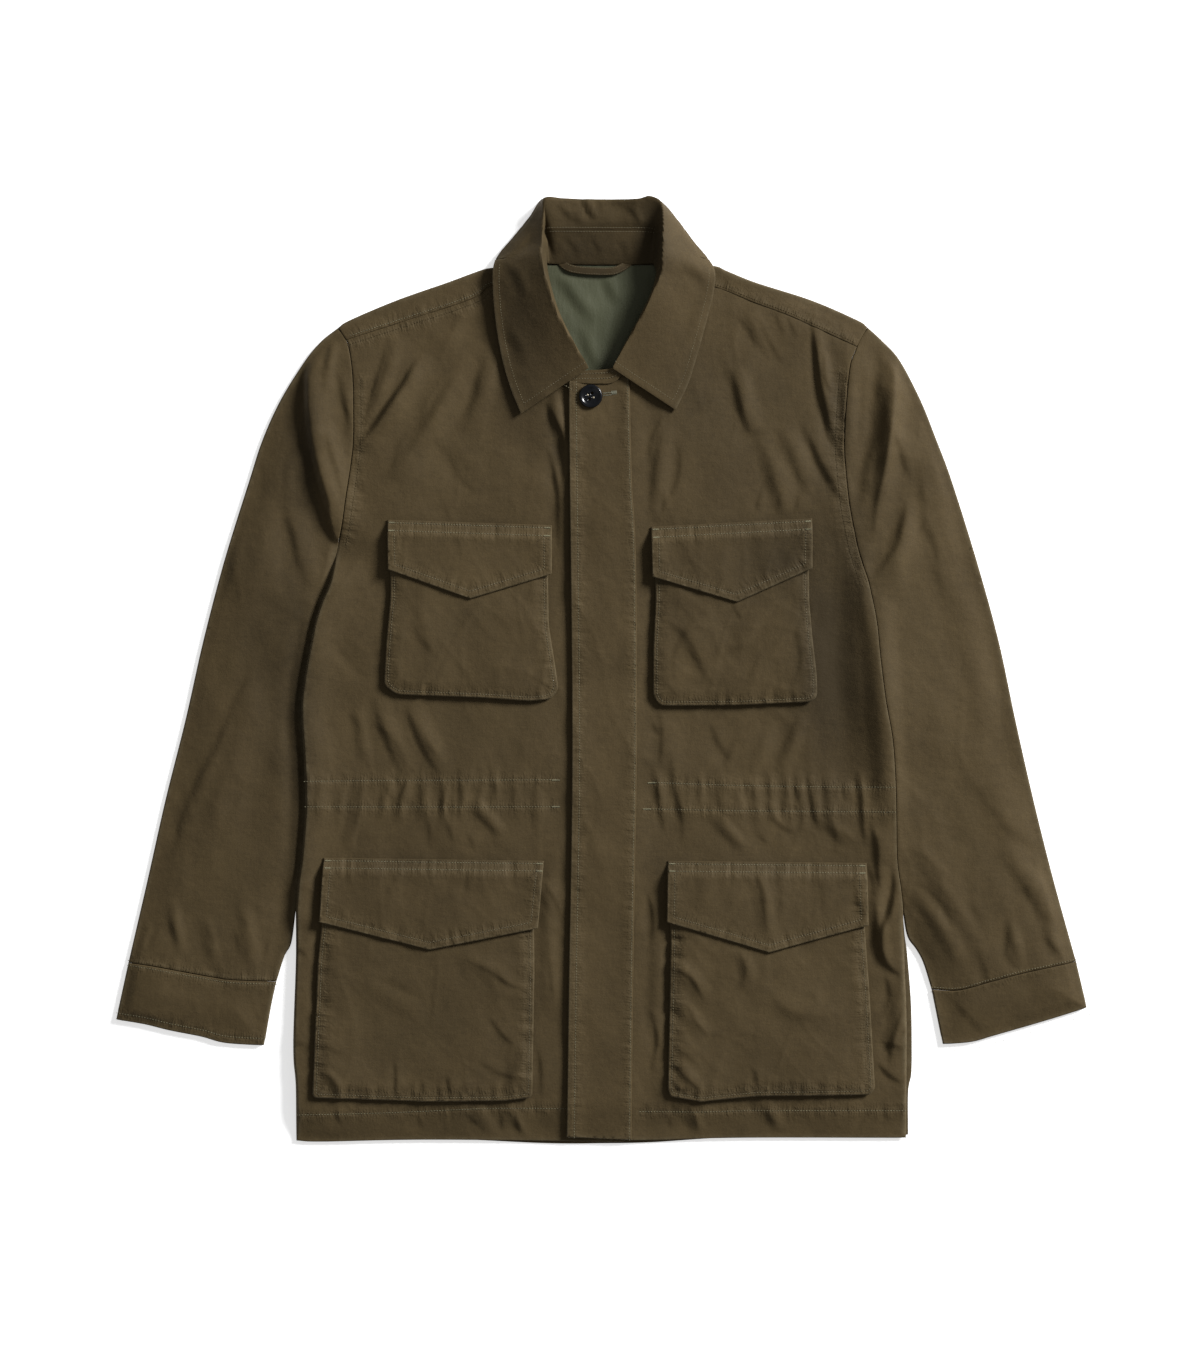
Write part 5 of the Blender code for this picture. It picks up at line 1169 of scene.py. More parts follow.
def threadMaterial(name, dark, light):
    paint = Paint(name, {"Sheen Weight": 0.1, "Specular IOR Level": 0.3})
    twist = paint.noise(0.35, 2.0)
    tone = paint.noise(9.0, 3.0, 0.6)
    colour = paint.mix(tone * 2.0 - 0.6, (*dark, 1), (*light, 1))
    return paint.finish(colour, 0.5 + 0.2 * twist, twist, 0.1, 0.5)


def hornMaterial():
    paint = Paint("navyHorn", {"Coat Roughness": 0.06, "Specular IOR Level": 0.25})
    bands = paint.noise(3.2, 4.0, 0.6, paint.shaped(Scale=(1.0, 2.6, 1.0), Rotation=(0, 0, 0.5)))
    dust = paint.noise(0.7, 3.0, 0.6)
    colour = paint.mix(bands * 1.4 - 0.4, (0.0015, 0.0018, 0.0026, 1), (0.0045, 0.0053, 0.0078, 1))
    paint.put(paint.shader.inputs["Coat Weight"], 0.16 + 0.1 * bands)
    return paint.finish(colour, 0.20 + 0.10 * dust, dust, 0.01, 0.3)


print("materials")
cotton, sage, horn = cottonMaterial(), sageMaterial(), hornMaterial()
threads = {
    "tonalStitches": cottonMaterial("tonalThread", dict(cottonLook, pitch=0.4)),
    "frontStitches": threadMaterial("sageThread", (0.095, 0.083, 0.043), (0.205, 0.190, 0.112)),
    "pocketStitches": threadMaterial("paleThread", (0.110, 0.098, 0.052), (0.235, 0.218, 0.130)),
    "edgeStitches": threadMaterial("mutedThread", (0.085, 0.067, 0.032), (0.160, 0.140, 0.080)),
    "buttonholeThread": threadMaterial("greyThread", (0.120, 0.118, 0.080), (0.190, 0.188, 0.130)),
    "buttonThread": threadMaterial("creamThread", (0.300, 0.260, 0.180), (0.480, 0.430, 0.330)),
}
threads["collarStitches"] = threads["edgeStitches"]

# Stitches are gathered here as (middle, way, up) and made into one mesh for each kind.
sewn = {}
stitch = {"pitch": 2.45, "length": 1.75, "wide": 0.25, "high": 0.20, "tackLift": 0.2}
rowStep = 1.22  # rows of stitches are drawn in steps of this
skyward = np.array([0.0, 0.0, 1.0])
raised = 1.6  # a sheet that lies on another one comes no lower than this
underneath = 0.05  # where the sheet that touches the surface lies


def sew(group, line, heightAt):
    points = evenly(line, stitch["pitch"])
    way = unit(np.gradient(points, axis=0))
    side = leftOf(way)
    half = stitch["length"] / 2
    slope = (heightAt(points + way * half) - heightAt(points - way * half)) / (2 * half)
    tilt = (heightAt(points + side * 1.5) - heightAt(points - side * 1.5)) / 3.0
    along = unit(np.column_stack([way, slope]))
    up = unit(np.cross(along, np.column_stack([side, tilt])))
    sewn.setdefault(group, []).append((np.column_stack([points, heightAt(points)]), along * half, up))


def sewAll(group, rows, heightAt):
    for _, line in rows:
        sew(group, line, heightAt)


def sewSolid(group, points, ups, pitch=stitch["pitch"], length=stitch["length"]):
    # Stitches along a line in space with its own up directions.
    both = evenly(np.hstack([points, ups]), 1.0)
    total = np.linalg.norm(np.diff(both[:, :3], axis=0), axis=1).sum()
    both = evenly(both, 0, max(2, int(round(total / pitch)) + 1))
    points, ups = both[:, :3], both[:, 3:]
    way = unit(np.gradient(points, axis=0))
    ups = unit(ups - (ups * way).sum(1)[:, None] * way)
    sewn.setdefault(group, []).append((points, way * length / 2, ups))


def makeStitches(group):
    middle, along, up = (np.vstack(parts) for parts in zip(*sewn[group]))
    side = unit(np.cross(up, along)) * stitch["wide"]
    up = up * stitch["high"]
    corners = []
    # each stitch is a point, three squares and a point, as place along it, size and how deep
    for part, size, sink in ((-1.0, 0.0, 1.6), (-0.62, 0.85, 0.25), (0.0, 1.1, -0.3), (0.62, 0.85, 0.25),
                             (1.0, 0.0, 1.6)):
        centre = middle + along * part - up * sink
        if size:
            corners += [centre + side * size, centre + up * size, centre - side * size, centre - up * size]
        else:
            corners.append(centre)
    faces = [(0, 2, 1), (0, 3, 2), (0, 4, 3), (0, 1, 4)]
    for base in (1, 5):
        faces += [(base + k, base + (k + 1) % 4, base + 4 + (k + 1) % 4, base + 4 + k) for k in range(4)]
    faces += [(9, 10, 13), (10, 11, 13), (11, 12, 13), (12, 9, 13)]
    points = np.stack(corners, 1).reshape(-1, 3)
    allFaces = [tuple(k * 14 + i for i in f) for k in range(len(middle)) for f in faces]
    makePiece(group, [(points, allFaces, np.zeros(len(points)))], threads[group])


def offsetCorners(points, by):
    # An open run of straight pieces moved to its left, its corners kept sharp.
    points = np.asarray(points, float)
    left = leftOf(unit(np.diff(points, axis=0)))
    moved = [points[0] + left[0] * by]
    for k in range(1, len(points) - 1):
        both = left[k - 1] + left[k]
        moved.append(points[k] + both / (both @ both / 2) * by)
    return np.array(moved + [points[-1] + left[-1] * by])


def puckered(heightAt, rows, size, reach, scale, seed, shared=False):
    # Thread draws the cloth into short ribs square to each row.
    coarse = [evenly(line, 5.0) for _, line in rows]

    def height(xy):
        z = heightAt(xy).copy()
        for k, line in enumerate(coarse):
            near, distance, along, _ = nearLine(xy, line, reach * 2)
            seedHere = seed if shared else seed + 7 * k
            ribs = 0.65 * wander(along, seedHere, scale) + 0.45 * wander(along, seedHere + 3, scale * 2.6)
            ribs = ribs + 1.8 * np.minimum(ribs + 0.28, 0.0)
            z[near] += size * ribs * np.exp(-(distance / reach) ** 2)
        return z
    return height


def rowsOf(name):
    return [(depth, curve(lineOf(text), rowStep)) for depth, text in stitchRows[name]]


def runsOf(table, step=2.0):
    # Seams one after another round a piece: name, way along it and kind of edge.
    return [(seam(name, step)[::way], kind) for name, way, kind in table]


def flat(level):
    return lambda xy: np.full(len(xy), level)


def cottonPiece(name, parts, *nodes):
    return makePiece(name, parts, cotton, nodes)


def cottonTube(name, upper, lower, heightAt, look, rows, node):
    # A flattened tube: its upper layer, and a plain lower one on the surface.
    parts = [panelParts(upper, heightAt, look["spacing"], rows, 1.3),
             panelParts(lower, flat(underneath), look["lowerSpacing"], [], 0.0, True)]
    return cottonPiece(name, parts, node)


def armholeBelow(name, start):
    line = seam(name)
    return np.vstack([[start], line[line[:, 1] < start[1] - 3.0]])


def insetLoop(points, by):
    loop = corners(list(points) + [points[0]], 6.0)[:-1]
    return loop - outwards(loop) * by


def coveredBy(side):
    # Where pockets and placket hide the front.
    covers = [insetLoop(pockets[name][part], 9.0) for name in pockets if name.startswith(side)
              for part in ("flap", "bag")]
    west, east, south, north = (-22, 15, -400, 240) if side == "right" else (-18, 18, -400, 240)
    return covers + [np.array([(west, south), (east, south), (east, north), (west, north)], float)]


# Fronts, the left one over the right
# A pucker is the height of the ribs, how far they reach from the row and how wide they are.
frontLook = {"pucker": (0.34, 7.0, 4.6), "spacing": 1.75}
placketLook = {"pucker": (0.3, 6.0, 4.0), "spacing": 1.8, "edgeRow": 6.6, "seamRow": 1.9}
overlap = {"ends": 20.0, "fade": 26.0, "layer": cloth["wall"] + cloth["gap"], "edge": -28.0,
           "edgeFade": 16.0, "edgeLift": 0.9, "edgeWave": 0.8}


def overRight(xy):
    step = overlap["layer"] * (1 - smooth((xy[:, 0] - overlap["ends"]) / overlap["fade"]))
    fromEdge = smooth((xy[:, 0] - overlap["edge"]) / overlap["edgeFade"])
    return step + (overlap["edgeLift"] + overlap["edgeWave"] * wander(xy[:, 1], 77, 38.0)) * (1 - fromEdge)


def buildFront(side, runs, quiet, ground, seed):
    rows = rowsOf(side + "Front")
    heightAt = puckered(ground, rows + quiet, *frontLook["pucker"], seed)
    parts = panelParts(runs, heightAt, frontLook["spacing"], rows + quiet, raised, hidden=coveredBy(side))
    piece = cottonPiece(side + "FrontCloth", [parts], "front_" + side)
    sewAll("frontStitches", rows, heightAt)
    sewAll("tonalStitches", quiet, heightAt)
    return piece, heightAt


def buildRightFront():
    forward = seam("forwardRight")
    runs = (runsOf((("sideRight", 1, "side"), ("sideRightLow", 1, "side"), ("hemRight", 1, "hem")))
            + [(corners(seams["overlapEdge"], 4.0), "plain"), (seam("neckRight"), "seam"), (forward, "seam"),
               (armholeBelow("armholeRight", forward[-1]), "seam")])
    quiet = [(0.22, beside(seam("forwardRight", rowStep), 5.5)),
             (0.2, beside(seam("armholeRight", rowStep)[40:], 7.0))]
    return buildFront("right", runs, quiet, lambda xy: topOf("body", xy), 500)


def buildLeftFront():
    forward = seam("forwardLeft")
    runs = (runsOf((("frontEdge", 1, "hem"), ("hemLeft", 1, "hem"), ("sideLeftFront", -1, "side"),
                    ("sideLeft", -1, "close")))
            + [(armholeBelow("armholeLeft", forward[-1])[::-1], "seam"), (forward[::-1], "seam"),
               (seam("neckLeft"), "seam")])
    quiet = [(0.2, beside(seam("armholeLeft", rowStep)[36:], off)) for off in (-7.5, -1.8)]
    return buildFront("left", runs, quiet, lambda xy: topOf("body", xy) + overRight(xy), 600)


def buildPlacket(frontTop):
    look, edge, outer = placketLook, seam("frontEdge"), seam("placketSeam")
    runs = [(edge, "hem"), (corners([edge[-1], outer[0]]), "hem"), (outer, "seam"),
            (corners([outer[-1], (9.0, 251.6), (-26.5, 251.4)]), "plain")]
    rows = [(0.3, beside(seam("frontEdge", rowStep), look["edgeRow"])),
            (0.3, beside(seam("placketSeam", rowStep), look["seamRow"]))]
    heightAt = puckered(lambda xy: frontTop(xy) + overlap["layer"], rows, *look["pucker"], 700)
    parts = panelParts(runs, heightAt, look["spacing"], rows, raised)
    piece = cottonPiece("placketCloth", [parts], "placket")
    sewAll("frontStitches", rows, heightAt)
    return piece, heightAt


pocketLook = {
    "rise": 3.9, "edgeShare": 0.66, "ramp": 14.0, "flapClimb": 14.0, "flapEdgeLift": 0.7,
    "bagRow": 3.4, "flapRow": 6.4, "topRows": {"Hip": (2.6, 8.8), "Chest": (2.6, 9.6)},
    "rounding": {"Hip": 1, "Chest": 4}, "flapCrumple": 0.26, "spacing": 1.6,
    "bagCrumple": {"leftChest": 0.42, "rightChest": 0.45, "rightHip": 0.28, "leftHip": 0.36},
    "bagPucker": (0.5, 8.0, 5.2), "topPucker": (0.26, 9.0, 4.4), "rimPucker": (0.34, 8.0, 5.0),
    "covered": 9.0, "secondRow": 3.4, "rowEnd": 1.6,
}


def roundedCorners(points, passes, step=2.0):
    # An open run of straight pieces with its corners eased, its two ends kept.
    line = corners(points, step)
    for _ in range(passes):
        line[1:-1] = (line[:-2] + 2 * line[1:-1] + line[2:]) / 4
    return line


def buildPocket(name, frontTop, seed):
    look, layer = pocketLook, overlap["layer"]
    kind = "Hip" if name.endswith("Hip") else "Chest"
    eased = look["rounding"][kind]
    bag, flap = (np.array(pockets[name][part], float) for part in ("bag", "flap"))
    bagLine = closed(bag)

    def bagTop(xy):
        clear = distanceTo(xy, [bagLine], look["ramp"])
        share = look["edgeShare"] + (1 - look["edgeShare"]) * smooth(clear / look["ramp"])
        own = look["bagCrumple"][name] * readGrid(heights["pocket"], xy) * smooth(clear / 5.0)
        return frontTop(xy) + layer + look["rise"] * share + own

    # the hip bags have a second row, drawn into the cloth but with no thread to see
    insets = ((0.3, look["bagRow"]), (0.22, look["bagRow"] + look["secondRow"]))[:2 if kind == "Hip" else 1]
    bagRows = [(depth, evenly(roundedCorners(offsetCorners(bag, inset), eased), rowStep))
               for depth, inset in insets]
    bagHeight = puckered(bagTop, bagRows, *look["bagPucker"], seed)
    runs = [(roundedCorners(bag, eased), "gusset"), (corners([bag[-1], bag[0]]), "plain")]
    parts = [panelParts(runs, bagHeight, look["spacing"], bagRows, lambda xy: frontTop(xy) + 0.1,
                        hidden=[insetLoop(flap, look["covered"])])]
    bagPiece = cottonPiece(name + "Bag", parts, cadName(name, "pocket"))
    sewAll("edgeStitches", bagRows[:1], bagHeight)

    leftTop, leftLow, point, rightLow, rightTop = flap
    topEdge, lowEdge = np.array([leftTop, rightTop]), np.array([leftLow, point, rightLow])

    def flapTop(xy):
        down = distanceTo(xy, [topEdge], 40.0)
        near = distanceTo(xy, [lowEdge], 9.0)
        climb = smooth((down - 1.0) / look["flapClimb"])
        own = look["flapCrumple"] * readGrid(heights["pocket"], xy + (31.0, 47.0)) * climb
        return (frontTop(xy) + layer + (look["rise"] + layer) * climb + own
                + look["flapEdgeLift"] * (1 - smooth(near / 9.0)) * climb)

    first, second = look["topRows"][kind]
    across = (rightTop - leftTop) / np.linalg.norm(rightTop - leftTop)
    down = np.array([across[1], -across[0]])
    short = across * look["rowEnd"]
    ends = [np.array([leftTop + down * d + short, rightTop + down * d - short]) for d in (first, second)]
    topRows = [(0.34, evenly(both, rowStep)) for both in ends]
    rim = offsetCorners([leftTop + down * second, leftLow, point, rightLow, rightTop + down * second],
                        look["flapRow"])
    rimRows = [(0.3, evenly(rim, rowStep))]
    ribbed = puckered(flapTop, topRows, *look["topPucker"], seed + 50, True)
    flapHeight = puckered(ribbed, rimRows, *look["rimPucker"], seed + 90)
    runs = [(corners([leftTop, leftLow]), "hem"), (corners(lowEdge), "hem"),
            (corners([rightLow, rightTop]), "hem"), (corners([rightTop, leftTop]), "seam")]
    parts = [panelParts(runs, flapHeight, look["spacing"], topRows + rimRows, raised)]
    flapPiece = cottonPiece(name + "Flap", parts, cadName(name, "flap"))
    sewAll("pocketStitches", topRows, flapHeight)
    sewAll("edgeStitches", rimRows, flapHeight)
    for corner, way in ((leftTop, across), (rightTop, -across)):
        for d in (first, second):
            at = corner + down * d + way * 2.2
            barTack("pocketStitches", at - way * 0.6, at + way * 3.6, flapHeight, 1.5)
    return bagPiece, flapPiece


def cadName(name, part):
    side, kind = ("left", name[4:]) if name.startswith("left") else ("right", name[5:])
    return f"{kind.lower()}_{part}_{side}"


def barTack(group, start, end, heightAt, wide, pitch=0.5):
    # Stitches laid close together across a short line.
    points = evenly(np.array([start, end]), pitch)
    way = (points[-1] - points[0]) / np.linalg.norm(points[-1] - points[0])
    side = np.array([-way[1], way[0]])
    slope = (heightAt(points + side) - heightAt(points - side)) / 2
    along = np.column_stack([np.tile(side, (len(points), 1)), slope]) * wide / 2
    middle = np.column_stack([points, heightAt(points) + stitch["tackLift"]])
    sewn.setdefault(group, []).append((middle, along, np.tile(skyward, (len(points), 1))))


# Back, with the strips that it wraps over the shoulders to the forward seams
backLook = {
    "lap": 1.3, "lapHeight": 0.5, "pucker": (0.25, 6.0, 5.0), "row": 1.7, "spacing": 2.0,
    "innerLevel": 1.35, "innerSpacing": 8.0, "outerSpacing": 14.0,
}


def buildBack():
    look = backLook

    def around(shoulder, armhole, side, neck):
        return runsOf((("shoulderRight", 1, shoulder), ("armholeRight", 1, armhole), ("sideRight", 1, side),
                       ("sideRightLow", 1, side), ("hemBack", 1, side), ("sideLeftBack", -1, side),
                       ("sideLeft", -1, side), ("armholeLeft", -1, armhole), ("shoulderLeft", -1, shoulder),
                       ("neckBack", 1, neck)), 5.0)
    parts = [panelParts(around("inner", "slab", "slab", "inner"), flat(look["innerLevel"]),
                        look["innerSpacing"], [], 0.3),
             panelParts(around("fold", "slab", "slab", "slab"), flat(underneath),
                        look["outerSpacing"], [], 0.0, True)]
    right, left = beside(seam("forwardRight"), look["lap"]), beside(seam("forwardLeft"), -look["lap"])
    shoulderRight, shoulderLeft = seam("shoulderRight"), seam("shoulderLeft")
    strips = (
        [(shoulderRight, "fold"), (corners([shoulderRight[-1], right[-1]]), "seam"), (right[::-1], "seam"),
         (corners([right[0], shoulderRight[0]]), "plain")],
        [(shoulderLeft[::-1], "fold"), (corners([shoulderLeft[0], left[0]]), "plain"), (left, "seam"),
         (corners([left[-1], (225.8, 289.0), shoulderLeft[-1]]), "seam")],
    )
    rows = [(0.28, beside(seam("forwardRight", rowStep)[8:-4], -look["row"]))]
    quiet = [(0.24, beside(seam("forwardLeft", rowStep)[8:-4], look["row"]))]
    ground = lambda xy: topOf("body", xy) + look["lapHeight"]
    heightAt = puckered(ground, rows + quiet, *look["pucker"], 800)
    parts += [panelParts(strip, heightAt, look["spacing"], rows + quiet, raised) for strip in strips]
    sewAll("frontStitches", rows, heightAt)
    sewAll("tonalStitches", quiet, heightAt)
    return cottonPiece("backCloth", parts, "back")


sleeveRuns = {
    "right": (("sleeveOutRight", 1, "fold"), ("cuffSeamRight", 1, "seam"), ("sleeveInRight", -1, "fold"),
              ("sideRight", -1, "under"), ("armholeRight", -1, "seam")),
    "left": (("armholeLeft", 1, "seam"), ("sideLeft", 1, "seam"), ("sleeveInLeft", 1, "fold"),
             ("cuffSeamLeft", -1, "seam"), ("sleeveOutLeft", -1, "fold")),
}
cuffRuns = {
    "right": (("cuffOutRight", 1, "fold"), ("cuffEndRight", 1, "mouth"), ("cuffInRight", -1, "fold"),
              ("cuffSeamRight", -1, "seam")),
    "left": (("cuffInLeft", 1, "fold"), ("cuffEndLeft", -1, "mouth"), ("cuffOutLeft", -1, "fold"),
             ("cuffSeamLeft", 1, "seam")),
}
sleeveLook = {"pucker": (0.5, 9.0, 7.0), "spacing": 2.1, "lowerSpacing": 14.0, "seamRow": 2.0}
cuffLook = {
    "thicker": 0.5, "endRow": 6.0, "seamRow": 2.2, "pucker": (0.3, 6.0, 5.0),
    "spacing": 1.8, "lowerSpacing": 10.0,
}


def buildSleeve(side, seed):
    look, upper = sleeveLook, runsOf(sleeveRuns[side])
    lower = runsOf([(name, way, "fold" if name.startswith("side") else kind)
                    for name, way, kind in sleeveRuns[side]], 4.0)
    rows = [(0.3, beside(seam("cuffSeam" + side.capitalize(), rowStep), look["seamRow"]))]
    heightAt = puckered(lambda xy: topOf("sleeve", xy), rows, *look["pucker"], seed)
    piece = cottonTube(side + "SleeveCloth", upper, lower, heightAt, look, rows, "sleeve_" + side)
    sewAll("tonalStitches", rows, heightAt)
    return piece


def buildCuff(side, seed):
    look, runs = cuffLook, runsOf(cuffRuns[side])
    rows = [(0.3, beside(seam("cuffEnd" + side.capitalize(), rowStep), look["endRow"])),
            (0.3, beside(seam("cuffSeam" + side.capitalize(), rowStep), -look["seamRow"]))]
    heightAt = puckered(lambda xy: topOf("sleeve", xy) + look["thicker"], rows, *look["pucker"], seed)
    piece = cottonTube(side + "CuffCloth", runs, runs, heightAt, look, rows, "cuff_" + side)
    sewAll("frontStitches", rows, heightAt)
    return piece


collarLook = {
    "wall": 1.7, "roll": 3.2, "leastUnder": 2.5, "across": 46, "along": 11,
    "edgeRow": 6.0, "wave": 0.55, "crumple": 0.30, "lap": 0.6,
    "seamRows": ((-1.7, 1.9), (1.5, 1.0)), "endRows": (0.24, 0.62), "standAcross": 14,
}
collarCreases = (
    (2.6, 1.8, 1.17, "-18,413 -14,405 -10,397 -6,391"),
    (5.0, -1.5, 1.0, "2,404 12,400 30,402"),
    (3.0, 0.72, 0.36, "-24,400 -22,392 -18,386"),
    (3.5, 0.72, 0.41, "-40,404 -30,396 -26,388"),
    (3.0, 0.6, 0.36, "20,404 28,396 33,387"),
    (3.0, 1.0, 0.9, "-10,378 -4,368 -2,358"),
    (3.5, 1.0, 0.8, "-34,378 -24,368 -20,358"),
    (3.0, 0.9, 0.7, "14,378 20,366 22,357"),
    (5.0, 0.9, 0.5, "-84,352 -74,340 -68,322"),
    (7.0, 0.8, 0.5, "-88,300 -76,282 -70,262"),
    (7.0, 0.8, 0.5, "92,330 80,312 72,290"),
    (6.0, 0.7, 0.5, "70,352 84,340 92,326"),
    (4.0, 0.8, 0.5, "-60,378 -70,366 -82,356"),
)


def sectionOf(row, along):
    # One section of the fall, from its seam over the fold to its outer edge and under it.
    fold, edge, under, seamAt = row[0:3], row[3:6], row[6], row[7:10]
    path = [seamAt, seamAt + (fold - seamAt) * 0.5 + (0, 0, 0.4),
            seamAt + (fold - seamAt) * 0.88 + (0, 0, 0.3), fold]
    for part in (0.05, 0.25, 0.5, 0.75):
        level = fold + (edge - fold) * part
        path.append(level - (0, 0, (fold[2] - edge[2]) * (part ** 0.8 - part)))
    path.append(edge)
    low, roll = collarLook["wall"] / 2, collarLook["roll"]
    if under > collarLook["leastUnder"]:
        away = np.array([-along[1], along[0], 0.0])
        away /= np.linalg.norm(away)
        path[-1] = edge - away * roll * 0.4
        path.append(np.array([edge[0], edge[1], (edge[2] + low) / 2]))
        path.append(np.array([edge[0], edge[1], low]) - away * roll * 0.4)
        path.append(np.array([edge[0], edge[1], low]) - away * (under + roll))
    fine = through(path, np.linspace(0, len(path) - 1, 8 * len(path)))
    fine[:, 2] = np.maximum(fine[:, 2], low)
    return evenly(fine, 0, collarLook["across"])


def gridPiece(name, grid, node, wall, worn=None, bevel=0.45):
    rows, columns = grid.shape[:2]
    faces = [(i * columns + j, i * columns + j + 1, (i + 1) * columns + j + 1, (i + 1) * columns + j)
             for i in range(rows - 1) for j in range(columns - 1)]
    worn = np.zeros(rows * columns) if worn is None else worn.ravel()
    piece = cottonPiece(name, [(grid.reshape(-1, 3), faces, worn)], node)
    solid = piece.modifiers.new("thickness", "SOLIDIFY")
    solid.thickness, solid.offset = wall * mm, 0.0
    rounded = piece.modifiers.new("rounded edge", "BEVEL")
    rounded.width, rounded.segments, rounded.limit_method = bevel * mm, 2, "ANGLE"
    rounded.angle_limit = math.radians(60)
    return piece


def collarLift():
    lift = np.zeros(gridX.shape)
    addSoftCreases(lift, collarCreases)
    lift += noiseGrid(28.0, 41) * collarLook["wave"] + noiseGrid(11.0, 42) * collarLook["crumple"] * 0.6
    return lift


def liftOf(lift, grid):
    return readGrid(lift, grid[:, :, :2].reshape(-1, 2)).reshape(grid.shape[:2])


def loftRows(rows):
    # The rows of a table with smooth ones between them.
    return through(rows, np.linspace(0, len(rows) - 1, (len(rows) - 1) * collarLook["along"] + 1))


def sewLeaves(fall, table):
    # Rows beside the outer edge and the front edge of each leaf.
    row, wall = collarLook["edgeRow"], collarLook["wall"]
    lengths = np.linalg.norm(np.diff(fall, axis=1), axis=2)
    walked = np.concatenate([np.zeros((len(fall), 1)), np.cumsum(lengths, axis=1)], 1)
    normal = np.cross(np.gradient(fall, axis=0), np.gradient(fall, axis=1))
    normal /= np.maximum(np.linalg.norm(normal, axis=2), 1e-9)[:, :, None]
    normal[normal[:, :, 2] < 0] *= -1

    def onSection(k, far):
        return np.array([np.interp(far, walked[k], values[k, :, axis])
                         for values in (fall, normal) for axis in range(3)])

    def sewOn(line):
        sewSolid("collarStitches", line[:, :3] + line[:, 3:] * wall / 2, line[:, 3:])

    leafEnds = [k for k in range(len(table)) if table[k, 6] <= 0.2]
    middle = len(table) // 2
    for leaf in ([k for k in leafEnds if k < middle], [k for k in leafEnds if k > middle]):
        inwards = leaf if leaf[0] == 0 else leaf[::-1]
        line = np.array([onSection(k, walked[k, -1] - row) for k in inwards])
        fromEnd = np.linalg.norm(line[:, :3] - line[0, :3], axis=1)
        sewOn(line[fromEnd >= row * 0.98])
        front = []
        for far in np.arange(4.0, walked[inwards[0], -1] - row, 1.5):
            path = np.array([onSection(k, far) for k in inwards[:14]])
            away = np.r_[0, np.cumsum(np.linalg.norm(np.diff(path[:, :3], axis=0), axis=1))]
            front.append([np.interp(row, away, path[:, c]) for c in range(6)])
        sewOn(np.array(front))


def buildCollar():
    look, lift = collarLook, collarLift()
    rows = np.array(collarRows, float)
    table = loftRows(rows)
    fall = []
    for k, row in enumerate(table):
        section = sectionOf(row, table[min(k + 7, len(table) - 1), 3:6] - table[max(k - 7, 0), 3:6])
        seamAt, neck = row[7:10], row[10:13]
        down = (neck - seamAt) / np.linalg.norm(neck - seamAt)
        section[0] = seamAt + down * look["lap"] + (0, 0, 0.1)
        fall.append(section)
    fall = np.array(fall)
    share = np.linspace(0, 1, look["across"])
    fade = smooth(share / 0.12) * (0.35 + 0.65 * smooth((1 - share) / 0.12))
    # what is turned under stays flat
    fall[:, :, 2] += np.where(fall[:, :, 2] < 3.0, 0.0, liftOf(lift, fall) * fade[None, :])
    sewLeaves(fall, table)
    worn = np.tile(np.exp(-((1 - share) * look["across"] / 1.2) ** 2), (len(fall), 1))
    fallPiece = gridPiece("collarFallCloth", fall, "collar_fall", look["wall"], worn)

    both = loftRows(np.vstack([rows[1:, 7:13], np.array(standEndRows, float)]))
    across = look["standAcross"]
    stand = np.array([evenly(np.array([pair[3:], pair[:3]]), 0, across) for pair in both])
    belly = np.sin(np.pi * np.linspace(0, 1, across)) ** 0.8
    stand[:, :, 2] += liftOf(lift, stand) * 0.5 * belly[None, :]
    standPiece = gridPiece("collarStandCloth", stand, "collar_stand", look["wall"])

    def sewStand(places, part, above):
        up = np.array([0.0, -0.1, 1.0])
        points = np.array([both[k, :3] + (both[k, 3:] - both[k, :3]) * part for k in places])
        sewSolid("collarStitches", points + up * above, np.tile(up, (len(points), 1)))

    # the seam between stand and fall is sewn twice where it shows
    shown = [k for k in range(len(both)) if abs(both[k, 0]) < 49 and both[k, 1] > 380]
    end = [k for k in range(len(both)) if both[k, 1] < 264 and both[k, 0] < 14]
    for off, above in look["seamRows"]:
        sewStand(shown, off / 28.0, above)
    for part in look["endRows"]:
        sewStand(end, part, 0.9)
    return fallPiece, standPiece


liningCreases = (
    (7.0, 1.2, 0.8, "-40,345 -32,332 -20,316 -8,303"),
    (8.0, 1.0, 0.8, "30,330 20,312 12,290 10,270"),
    (6.0, 0.8, 0.6, "-20,298 -14,280 -8,262"),
    (6.0, 0.8, 0.6, "0,345 6,330 14,318"),
)


liningLook = {"level": 2.75, "belly": 0.35, "deepest": -0.4, "spacing": 1.6}


def buildLining():
    look = liningLook
    outline = curve(tuple(seams["lining"]) + (seams["lining"][0],), 2.0)
    lift = noiseGrid(34.0, 61) * 0.35 + noiseGrid(15.0, 62) * 0.16
    addSoftCreases(lift, liningCreases)

    def heightAt(xy):
        clear = distanceTo(xy, [outline], 16.0)
        ground = np.maximum(look["belly"] + readGrid(lift, xy), look["deepest"])
        return look["level"] + ground * smooth((clear - 4.0) / 12.0)

    parts = panelParts([(outline, "thin")], heightAt, look["spacing"], [], raised)
    return makePiece("backLining", [parts], sage, ("lining",))


loopLook = {
    "half": 3.3, "wall": 1.1, "edge": 0.3, "belly": 0.12, "rows": (2.4, -2.4), "above": 0.55,
    "pitch": 2.2, "length": 1.5,
}


